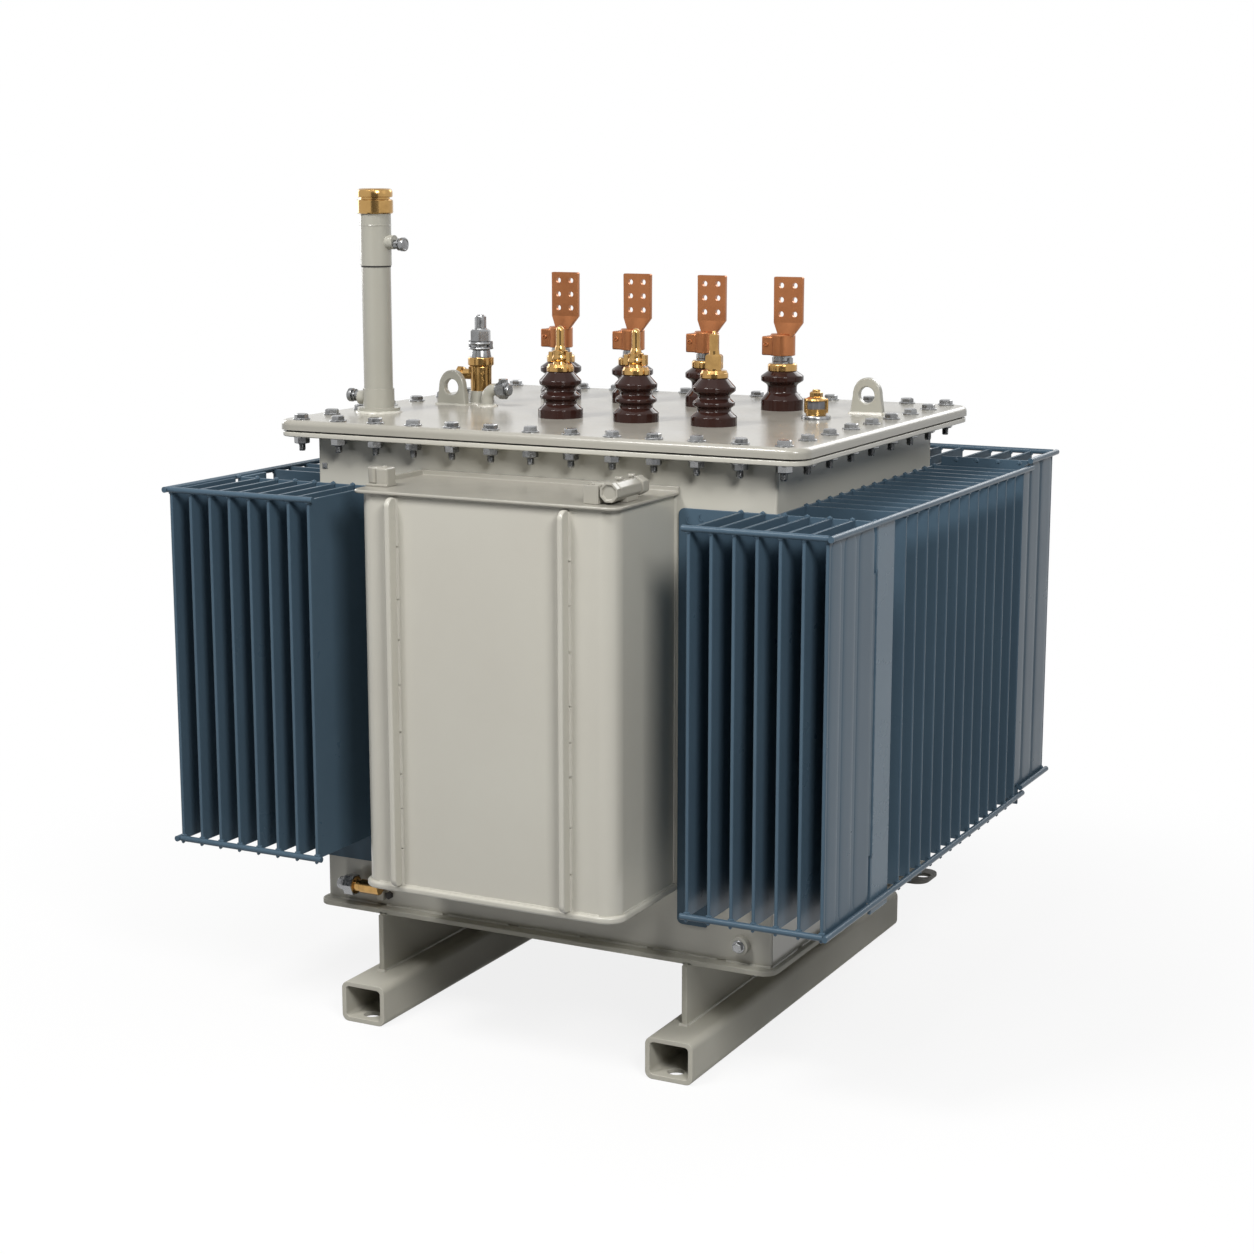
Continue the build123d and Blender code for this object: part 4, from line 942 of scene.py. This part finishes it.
hv_outline = eased(((0, 0), (0.054, 0), (0.054, 0.0205), (0.0352, 0.0375), (0.0490, 0.0465), (0.0490, 0.0535),
                    (0.0328, 0.0675), (0.0500, 0.0795), (0.0510, 0.0885), (0.0335, 0.1075), (0.033, 0.109),
                    (0, 0.109)),
                   (0, 0, 0.005, 0.007, 0.0045, 0.006, 0.007, 0.0045, 0.006, 0, 0, 0))
lv_outline = eased(((0, 0), (0.0525, 0), (0.0525, 0.026), (0.0365, 0.044), (0.0365, 0.062), (0.053, 0.072),
                    (0.053, 0.084), (0.037, 0.095), (0, 0.095)),
                   (0, 0, 0.004, 0.010, 0.010, 0.005, 0.005, 0, 0))
hv_names = [f"hv_insulator_{i + 1}" for i in range(3)]
lv_names = [f"lv_insulator_{i + 1}" for i in range(4)]
bushing_steps = 64
for names, outline in ((hv_names, hv_outline), (lv_names, lv_outline)):
    for name in names:
        bushing = moved(turned(outline, bushing_steps), middle_of(name, 0))
        keep(bushing, name + "_glazed", "porcelain", (name,))

# %% [markdown]
# ## High-voltage terminals
# Each high-voltage bushing ends in a turned brass collar, a nut with two wings and a stem. The third has a
# plain nut and a six-sided cap instead. They are turned from outlines, like the real ones on a lathe, and
# the wings are blocks set beside the nut.

# %% High-voltage terminals
hv_tops = [middle_of(name, 1) for name in hv_names]
hv_collar_outline = ((0, 0), (0.0312, 0), (0.033, 0.002), (0.033, 0.011), (0.0322, 0.0125), (0.0312, 0.013),
                     (0.029, 0.0185), (0, 0.0185))
winged = turned(hv_collar_outline, 48)
merge(winged, turned(((0, 0.018), (0.0178, 0.018), (0.0165, 0.0245), (0.0198, 0.0290), (0.0205, 0.0335),
                      (0.0182, 0.0385), (0.0178, 0.0420), (0.0190, 0.0500), (0.0165, 0.0515),
                      (0.0130, 0.0495), (0.0130, 0.0560), (0.0112, 0.0600), (0.0100, 0.0640),
                      (0.0100, 0.0980), (0.0088, 0.1035), (0.0045, 0.1080), (0, 0.1100)), 36))
for angle in (math.pi, 0):
    merge(winged, swung(block((0.0165, -0.0075, 0.0230), (0.0285, 0.0075, 0.0475), 0.002), angle))
winged_terminal = pattern(winged, "winged_terminal")

capped = turned(hv_collar_outline, 48)
merge(capped, turned(((0, 0.018), (0.0172, 0.018), (0.0172, 0.0225), (0, 0.0225)), 32))
merge(capped, moved(hexagon(0.0375, 0.033, 0.004), (0, 0, 0.0225)))
merge(capped, turned(((0, 0.055), (0.0125, 0.055), (0.0118, 0.0635), (0, 0.0635)), 28))
merge(capped, moved(hexagon(0.0205, 0.0385, 0.0025), (0, 0, 0.0635)))
merge(capped, turned(((0, 0.101), (0.0055, 0.101), (0.0042, 0.1065), (0.0022, 0.1092), (0, 0.110)), 20))
capped_terminal = pattern(capped, "capped_terminal")

wing_turn = math.radians(4)
cap_turn = math.radians(12)
terminals = bmesh.new()
stamp(terminals, winged_terminal, [placed(top, UP, wing_turn) for top in hv_tops[:2]])
stamp(terminals, capped_terminal, [placed(hv_tops[2], UP, cap_turn)])
keep(terminals, "hv_terminals_turned", "brass", ("hv_terminals",))

# %% [markdown]
# ## Low-voltage collars and stems
# A low-voltage bushing carries a brass collar and a bright tinned stem with two small keys at its foot.
# Both are turned, and one of each is stamped on the four bushings.

# %% Low-voltage collars and stems
lv_tops = [middle_of(name, 1) for name in lv_names]
lv_collar = pattern(turned(((0, 0), (0.0345, 0), (0.0365, 0.002), (0.0365, 0.0145), (0.0355, 0.0170),
                            (0.033, 0.0195), (0.0290, 0.0200), (0, 0.0200)), 48), "lv_collar")
stem_shape = turned(((0, 0.019), (0.0258, 0.019), (0.0258, 0.024), (0.0232, 0.026), (0.0232, 0.0385),
                     (0, 0.0385)), 40)
key_reach = 0.0265
key_half = 0.004
for x in (-key_reach, key_reach):
    merge(stem_shape, block((x - key_half, -0.006, 0.0195), (x + key_half, 0.006, 0.034), 0.0015))
lv_stem = pattern(stem_shape, "lv_stem")
stem_turn = math.radians(-20)
collars = bmesh.new()
stems = bmesh.new()
stamp(collars, lv_collar, [placed(top) for top in lv_tops])
stamp(stems, lv_stem, [placed(top, UP, stem_turn) for top in lv_tops])
keep(collars, "lv_collars_turned", "brass", ("lv_collars",))
keep(stems, "lv_stems", "plated_steel")

# %% [markdown]
# ## Copper flags
# Each stem holds a copper flag. The flag's foot is a split barrel that one screw pulls tight round the
# stem. The flag itself is the solid's own plate, cut off above its clamp and leant forward at the neck, as
# the pressed copper is; barrel, ears and screw are made new below it.

# %% Copper flags
clamp_top = 0.092
clamp_foot = 0.0385
clamp_shape = turned(((0, clamp_foot), (0.0295, clamp_foot), (0.0312, clamp_foot + 0.0015),
                      (0.0312, clamp_top - 0.004), (0.0285, clamp_top), (0, clamp_top)), 48)
for near, far in ((-0.0255, -0.0035), (0.0005, 0.0225)):
    merge(clamp_shape, block((-0.046, near, clamp_foot + 0.001), (-0.004, far, clamp_top - 0.006), 0.003))
clamp_screw = turned(((0, 0), (0.0062, 0), (0.0062, 0.0018), (0.0052, 0.0028), (0.0034, 0.0028),
                      (0.0030, 0.0006), (0, 0.0006)), 18)
merge(clamp_shape, stood(clamp_screw, (-0.034, -0.0252, 0.066), (0, -1, 0)))
flag_clamp = pattern(clamp_shape, "flag_clamp")

neck_step = (0, -0.012, -0.008)
neck_gap = 0.001
cut_snap = 1e-5
flag_plate_height = 0.112
flag_edge = 0.0012
shortest_edge = 0.004
flag_face = Vector((0, 1, 0))


def sliced(shape, height, **settings):
    """Cut a whole bmesh across at a height; gives what the cut made."""
    return bmesh.ops.bisect_plane(shape, geom=shape.verts[:] + shape.edges[:] + shape.faces[:],
                                  plane_co=(0, 0, height), plane_no=UP, **settings)["geom_cut"]


for i, top in enumerate(lv_tops):
    name = f"lv_flag_{i + 1}"
    flag = copied(name)
    sliced(flag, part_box(name)[1].z - flag_plate_height, dist=cut_snap)
    cut = sliced(flag, top.z + clamp_top + neck_gap, clear_inner=True)
    rim = [item for item in cut if isinstance(item, bmesh.types.BMEdge)]
    bmesh.ops.holes_fill(flag, edges=rim)
    foot = {vert for edge in rim for vert in edge.verts}
    bmesh.ops.translate(flag, verts=list(foot), vec=neck_step)
    bevelled(flag, [edge for edge in sharp_edges(flag) if edge.calc_length() > shortest_edge], flag_edge)
    stamp(flag, flag_clamp, [placed(top)])
    keep(tidy(flag), name + "_shaped", "copper", (name,), flag_face)

# %% [markdown]
# ## Sampling valve
# Behind the left lug stands a brass valve with a steel gland: a rim at its top, a short arm with an end
# nut, and above it rings, a gland nut and a plain spindle. All of it is turned work and hexagons, so
# outlines are spun.

# %% Sampling valve
valve_foot = middle_of("valve_collar", 1)
gland_foot = middle_of("valve_collar", 1)
gland_foot.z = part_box("valve_stem")[0].z
arm_height = 0.040
arm_way = (-1, 0, 0)
valve = turned(((0, 0), (0.0255, 0), (0.0265, 0.003), (0.0272, 0.057), (0.0282, 0.062), (0.0318, 0.0645),
                (0.033, 0.066), (0.033, 0.0815), (0.0315, 0.084), (0, 0.084)), 40)
arm = turned(((0, 0), (0.0135, 0), (0.0135, 0.030), (0.0165, 0.033), (0.0165, 0.036), (0, 0.036)), 28)
merge(valve, stood(arm, (-0.018, 0, arm_height), arm_way))
merge(valve, stood(hexagon(0.034, 0.016, 0.003), (-0.052, 0, arm_height), arm_way, math.radians(15)))
for angle in (215, 305):
    merge(valve, swung(block((0.020, -0.007, 0.044), (0.0315, 0.007, 0.061), 0.002), math.radians(angle)))
keep(moved(valve, valve_foot), "valve_body_turned", "brass", ("valve_body",))

gland = turned(((0, 0), (0.0265, 0), (0.0265, 0.003), (0.0240, 0.017), (0.0230, 0.0195), (0.0312, 0.0205),
                (0.0325, 0.0225), (0.0312, 0.0255), (0.0240, 0.0270), (0.0240, 0.0305), (0.0300, 0.0320),
                (0.0315, 0.0350), (0.0300, 0.0385), (0.0240, 0.0410), (0, 0.0410)), 40)
merge(gland, stood(hexagon(0.046, 0.029, 0.004), (0, 0, 0.041), UP, math.radians(20)))
merge(gland, turned(((0, 0.070), (0.0185, 0.070), (0.0175, 0.0725), (0.0150, 0.0735), (0.0150, 0.1010),
                     (0.0135, 0.1035), (0.0095, 0.1040), (0.0090, 0.1065), (0, 0.1070)), 32))
for x in (-0.029, 0.029):
    merge(gland, block((x - 0.0035, -0.006, 0.0215), (x + 0.0035, 0.006, 0.0415), 0.0015))
keep(moved(gland, gland_foot), "valve_gland_turned", "plated_steel", ("valve_stem",))

# %% [markdown]
# ## Vent union
# The elbow's union has a hexagon with a blank end and a small bolt above it. It is made standing up, like
# all turned work here, and then laid along the elbow's mouth.

# %% Vent union
union_low, union_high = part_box("vent_union")
union_middle = (union_low + union_high) / 2
union = turned(((0, 0), (0.0165, 0), (0.0165, 0.008), (0, 0.008)), 28)
merge(union, moved(hexagon(0.040, 0.024, 0.003), (0, 0, 0.007)))
merge(union, turned(((0, 0.030), (0.0145, 0.030), (0.0145, 0.036), (0.013, 0.038), (0, 0.038)), 28))
stood(union, (union_low.x, union_middle.y, union_middle.z), (1, 0, 0), math.radians(30))
bolt_spot = (union_low.x + 0.018, union_middle.y, union_high.z - 0.002)
merge(union, moved(hexagon(0.020, 0.010, 0.0015), bolt_spot))
keep(union, "vent_union_shaped", "plated_steel", ("vent_union",))

# %% [markdown]
# ## Relief fitting
# The relief fitting is a brass cage round a glass, with two posts and a stepped knob, on a plated ring. The
# glass is a separate piece so that it can be grey.

# %% Relief fitting
relief_foot = middle_of("relief_base", 0)
relief_ring = turned(((0, 0), (0.035, 0), (0.035, 0.0055), (0.033, 0.0085), (0.030, 0.009), (0, 0.009)), 44)
keep(moved(relief_ring, relief_foot), "relief_base_turned", "plated_steel", ("relief_base",))
relief_glass = turned(((0, 0.024), (0.0225, 0.024), (0.0225, 0.045), (0, 0.045)), 40)
keep(moved(relief_glass, relief_foot), "relief_glass", "plated_steel")
relief = turned(((0, 0.009), (0.0235, 0.009), (0.0245, 0.011), (0.0258, 0.021), (0.0268, 0.0225),
                 (0.0268, 0.0245), (0, 0.0245)), 44)
merge(relief, turned(((0, 0.0435), (0.0262, 0.0435), (0.0270, 0.0450), (0.0255, 0.0485), (0.0185, 0.0520),
                      (0.0160, 0.0535), (0, 0.0535)), 44))
merge(relief, moved(hexagon(0.0275, 0.0125, 0.003), (0, 0, 0.053)))
merge(relief, turned(((0, 0.065), (0.0095, 0.065), (0.0095, 0.0685), (0.0085, 0.070), (0, 0.070)), 24))
for angle in (27, 207):
    merge(relief, swung(block((0.0195, -0.0075, 0.014), (0.0288, 0.0075, 0.049), 0.003), math.radians(angle)))
keep(moved(relief, relief_foot), "relief_cage", "brass", ("relief_body",))

# %% [markdown]
# ## Filling pipe
# The pipe's brass cap has a lower ring with twelve flats for a wrench, a groove and a rounded top. Its two
# side plugs are turned discs on a thin neck, one pattern stamped twice.

# %% Filling pipe cap and plugs
cap_low, cap_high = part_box("fill_pipe_cap")
pipe_axis = middle_of("fill_pipe_cap", 0)
pipe_axis.z = 0
cap_radius = (cap_high.x - cap_low.x) / 2
cap_flats = 12
cap_shape = bmesh.new()
merge(cap_shape, turned(((0, 0), (cap_radius - 0.002, 0), (cap_radius, 0.0025), (cap_radius, 0.0310),
                         (cap_radius - 0.0025, 0.0335), (0, 0.0335)), cap_flats))
merge(cap_shape, turned(((0, 0.032), (0.0365, 0.032), (0.0365, 0.0385), (0.0415, 0.0388), (0.0428, 0.0402),
                         (0.0432, 0.0460), (0.0430, 0.0515), (0.0414, 0.0562), (0.0375, 0.0590),
                         (0.0310, 0.0600), (0, 0.0600)), 56))
stood(cap_shape, pipe_axis + UP * cap_low.z, UP, math.radians(12))
keep(cap_shape, "fill_pipe_cap_turned", "brass", ("fill_pipe_cap",))

plug_low, plug_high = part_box("fill_pipe_plugs")
plug_half = (plug_high.y - plug_low.y) / math.sqrt(3)
plug_neck = 0.007
plug_depth = 0.024 - plug_neck
plug_shape = turned(((0, -plug_neck), (0.0115, -plug_neck), (0.0115, 0.006), (0, 0.006)), 24)
merge(plug_shape, turned(((0, 0.004), (0.0140, 0.004), (0.0150, 0.0055), (0.0140, 0.0072), (0.0118, 0.0080),
                          (0.0118, 0.0110), (0.0155, 0.0118), (0.0166, 0.0135), (0.0166, 0.0215),
                          (0.0155, 0.0235), (0.0130, 0.0240), (0.0115, 0.0228), (0, 0.0228)), 36))
plug = pattern(plug_shape, "plug")
plugs = bmesh.new()
for x, z, way, turn in ((plug_high.x - plug_depth, plug_high.z - plug_half, 1, 10),
                        (plug_low.x + plug_depth, plug_low.z + plug_half, -1, 24)):
    stamp(plugs, plug, [placed((x, pipe_axis.y, z), (way, 0, 0), math.radians(turn))])
keep(plugs, "fill_pipe_plugs_shaped", "plated_steel", ("fill_pipe_plugs",))

# %% [markdown]
# ## Pipe seal, joint and screw
# The dark edge of a seal shows under the pipe's sleeve, with the head of a small screw over it, and a fine
# joint line runs round the sleeve below the cap. They are two thin rings and a disc, so outlines are spun
# again.

# %% Filling pipe seal, joint and screw
sleeve_foot = 1.797
seal_drop = 0.0038
joint_drop_below_cap = 0.029
seal = turned(((0.0340, 0), (0.0364, 0), (0.0364, 0.004), (0.0340, 0.004), (0.0340, 0)), 56)
keep(moved(seal, pipe_axis + UP * (sleeve_foot - seal_drop)), "fill_pipe_seal", "gasket")
joint = turned(((0.0365, 0), (0.0384, 0), (0.0390, 0.0012), (0.0384, 0.0024), (0.0365, 0.0024), (0.0365, 0)),
               56)
keep(moved(joint, pipe_axis + UP * (cap_low.z - joint_drop_below_cap)), "sleeve_joint", "tank_paint")
screw_reach = 0.0325
screw_drop = 0.006
pipe_screw = turned(((0, 0), (0.0085, 0), (0.0085, 0.0014), (0.0065, 0.0024), (0, 0.0028)), 20)
stood(pipe_screw, pipe_axis + camera_way * screw_reach + UP * (sleeve_foot - screw_drop), camera_way)
keep(pipe_screw, "fill_pipe_screw", "plated_steel")

# %% [markdown]
# ## Box latch
# The box lid is held by a barrel latch on the right, painted with the box. The barrel has eight flats, a
# dished front cap, a groove near its rear end and two flat studs. A bracket with an open top holds it. The
# flats are bars with few sides, and the dish and the open top are insets pushed inwards.

# %% Box latch
latch_low, latch_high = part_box("box_latch")
latch_size = 0.042
stud_rise = 0.008
barrel_front = 0.019
barrel_axis = Vector((latch_high.x - latch_size / 2, latch_low.y + barrel_front,
                      latch_high.z - stud_rise - latch_size / 2))
latch_middle = (latch_low.y + latch_high.y) / 2
eighth = math.pi / 8
latch = bmesh.new()
barrel = flat_sided(8, latch_size - 0.001, 0.098, eighth)
merge(latch, bevelled(barrel, list(barrel.edges), 0.003))
front_cap = flat_sided(8, latch_size, 0.016, eighth)
front_faces = [face for face in front_cap.faces if face.normal.z < -0.9]
bmesh.ops.inset_region(front_cap, faces=front_faces, thickness=0.005, depth=0)
bmesh.ops.inset_region(front_cap, faces=front_faces, thickness=0.002, depth=-0.004)
moved(front_cap, (0, 0, -barrel_front))
merge(latch, bevelled(front_cap, sharp_edges(front_cap), 0.001))
for low_end, high_end, across in ((-0.004, 0.001, 0.036), (0.097, 0.108, 0.034)):
    merge(latch, moved(flat_sided(24, across, high_end - low_end), (0, 0, low_end)))
rear_end = moved(flat_sided(6, 0.040, 0.030), (0, 0, 0.107))
merge(latch, bevelled(rear_end, list(rear_end.edges), 0.004))
stood(latch, barrel_axis, (0, 1, 0))
latch_stud = pattern(turned(((0, -0.004), (0.0055, -0.004), (0.0055, 0.002), (0.0090, 0.003),
                             (0.0090, 0.0062), (0.0078, 0.0080), (0, 0.0080)), 24), "latch_stud")
stud_step = 0.029
stamp(latch, latch_stud, [placed((barrel_axis.x, latch_middle + step, latch_high.z - stud_rise))
                          for step in (-stud_step, stud_step)])

bracket = block(latch_low, latch_low + Vector((0.036, 0.027, 0.041)), 0.0025)
bracket_top = [face for face in bracket.faces if face.normal.z > 0.99 and face.calc_area() > 1e-4]
bmesh.ops.inset_region(bracket, faces=bracket_top, thickness=0.005, depth=0)
bmesh.ops.translate(bracket, verts=list({vert for face in bracket_top for vert in face.verts}),
                    vec=(0, 0, -0.012))
merge(latch, bracket)
for low, high, width in (((0.004, 0.026, 0), (0.046, 0.074, 0.043), 0.004),
                         ((0.014, 0.010, 0.020), (0.020, 0.016, 0.043), 0.0015)):
    merge(latch, block(latch_low + Vector(low), latch_low + Vector(high), width))
merge(latch, block((barrel_axis.x - 0.014, latch_middle - 0.020, latch_low.z),
                   (barrel_axis.x + 0.014, latch_middle + 0.035, latch_low.z + 0.012), 0.002))
keep(tidy(latch), "box_latch_shaped", "tank_paint", ("box_latch",))

# %% [markdown]
# ## Box clamp
# On the left a swing clamp holds the box lid: a rounded block on a foot, with a nut leaning on it and a
# pin. Blocks with rounded edges and a six-sided bar give it.

# %% Box clamp
hold_low, hold_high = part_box("box_clamp")
hold_middle = (hold_low.y + hold_high.y) / 2
foot_height = 0.006
nut_way = (-0.05, -0.05, 1)
hold = block(hold_low + Vector((0.026, 0.002, 0)), hold_high - Vector((0, 0.002, 0.003)), 0.006, 3)
merge(hold, block(hold_low, (hold_high.x, hold_high.y, hold_low.z + foot_height), 0.002))
hold_nut = flat_sided(6, 0.031, 0.036, math.radians(10))
bevelled(hold_nut, list(hold_nut.edges), 0.003)
merge(hold, stood(hold_nut, (hold_low.x + 0.017, hold_middle, hold_low.z + 0.007), nut_way))
hold_pin = turned(((0, 0), (0.005, 0), (0.005, 0.004), (0.0035, 0.006), (0, 0.006)), 16)
merge(hold, moved(hold_pin, (hold_low.x + 0.040, hold_middle, hold_high.z - 0.006)))
keep(tidy(hold), "box_clamp_shaped", "tank_paint", ("box_clamp",))

# %% [markdown]
# ## Drain
# The drain is a turned brass body that comes out of the wall and turns left, and ends in a plated hexagon
# with a conical tip. Both are made along +Z and laid along the drain's mouth.

# %% Drain
drain_low, drain_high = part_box("drain_cap")
drain_mouth = (drain_low + drain_high) / 2
drain_mouth.x = drain_high.x
drain_out = Vector((-1, 0, 0))
drain_cap = moved(hexagon(0.046, 0.030, 0.005), (0, 0, -0.015))
merge(drain_cap, turned(((0, 0.014), (0.0195, 0.014), (0.0185, 0.020), (0.0140, 0.0330), (0, 0.034)), 8))
stood(drain_cap, drain_mouth, drain_out, math.radians(6))
keep(drain_cap, "drain_cap_shaped", "plated_steel", ("drain_cap",))
drain_body_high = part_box("drain_valve")[1]
drain_length = drain_body_high.x - drain_mouth.x
riser_length = drain_body_high.y - drain_mouth.y
riser_radius = 0.0165
riser_inset = 0.017
drain_body = turned(((0, -0.006), (0.0215, -0.006), (0.0220, -0.009), (0.0212, -0.0165), (0.0150, -0.0185),
                     (0.0138, -0.030), (0.0170, -0.033), (0.0170, 0.002 - drain_length),
                     (0.0150, -drain_length), (0, -drain_length)), 32)
stood(drain_body, drain_mouth, drain_out)
drain_riser = turned(((0, 0), (riser_radius, 0), (riser_radius, riser_length), (0, riser_length)), 32)
riser_foot = (drain_body_high.x - riser_inset, drain_mouth.y, drain_mouth.z)
merge(drain_body, stood(drain_riser, riser_foot, (0, 1, 0)))
keep(drain_body, "drain_valve_turned", "brass", ("drain_valve",))

# %% [markdown]
# ## Earth bolt and small marks
# The earth boss carries a bolt on a washer, and a few bare or welded marks show on the front wall. They are
# small, but they stop the big faces from looking empty.

# %% Earth bolt and marks
FORWARD = (0, -1, 0)
boss_low, boss_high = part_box("earth_boss")
boss_face = (boss_low + boss_high) / 2
boss_face.y = boss_low.y
earth_bolt = turned(((0, 0), (0.0150, 0), (0.0150, 0.002), (0.0140, 0.003), (0, 0.003)), 28)
merge(earth_bolt, moved(hexagon(0.021, 0.009, 0.0015), (0, 0, 0.003)))
keep(stood(earth_bolt, boss_face, FORWARD, math.radians(8)), "earth_bolt", "plated_steel")

wall_y = tank_low.y
mark_depth = 0.004
wall_tab = block((-0.586, wall_y - 0.002, 1.323), (-0.572, wall_y + mark_depth, 1.337), 0.001)
keep(wall_tab, "wall_tab", "plated_steel")
wall_stop = block((-0.450, wall_y - 0.014, 0.268), (-0.430, wall_y + mark_depth, 0.296), 0.005)
keep(wall_stop, "wall_stop", "tank_paint")
# A near-black hexagon in the gasket finish sits beside the stop, to give the dark spot there.
keep(stood(hexagon(0.017, 0.010, 0.002), (-0.419, wall_y, 0.283), FORWARD), "wall_stop_dark_hexagon", "gasket")

# %% [markdown]
# ## Welds on the lid
# Lugs, pipe, valve and elbow are welded to the lid with a bead all round their feet. A round bead is the
# same rippled ring as the straight ones, made from an outline spun about the fitting's axis.

# %% Lid welds
ring_thickness = 0.005
lug_bead = 0.0045
lug_half_thickness = 0.010


def ring_bead(shape, centre, radius, thickness):
    """A rippled bead round a round foot."""
    inner, outer = radius - thickness, radius + thickness
    ring = turned(((inner, 0), (outer, 0), (radius + thickness * 0.8, thickness * 0.55), (radius, thickness),
                   (inner, thickness)), 48)
    for vert in ring.verts:
        if vert.co.z > thickness * 0.3:
            vert.co.z *= weld_dice.uniform(0.75, 1.2)
    merge(shape, moved(ring, centre))


pipe_low, pipe_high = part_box("fill_pipe")
collar_low, collar_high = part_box("valve_collar")
elbow_low, elbow_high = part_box("vent_elbow")
elbow_radius = (elbow_high.y - elbow_low.y) / 2
elbow_y = (elbow_low.y + elbow_high.y) / 2
lid_welds = bmesh.new()
for x, y, radius in ((pipe_axis.x, pipe_axis.y, (pipe_high.y - pipe_low.y) / 2),
                     (valve_foot.x, valve_foot.y, (collar_high.x - collar_low.x) / 2),
                     (elbow_low.x + elbow_radius, elbow_y, elbow_radius)):
    ring_bead(lid_welds, (x, y, lid_high.z), radius, ring_thickness)
for x, y in zip(lug_middles, (lug_low.y + lug_half_thickness, lug_high.y - lug_half_thickness)):
    left, right = x - lug_half, x + lug_half
    near, far = y - lug_half_thickness, y + lug_half_thickness
    for side_y, side_x in ((near, left), (far, right)):
        bead(lid_welds, (left, side_y, lid_high.z), (right, side_y, lid_high.z), lug_bead)
        bead(lid_welds, (side_x, near, lid_high.z), (side_x, far, lid_high.z), lug_bead)
keep(lid_welds, "lid_weld_beads", "tank_paint")
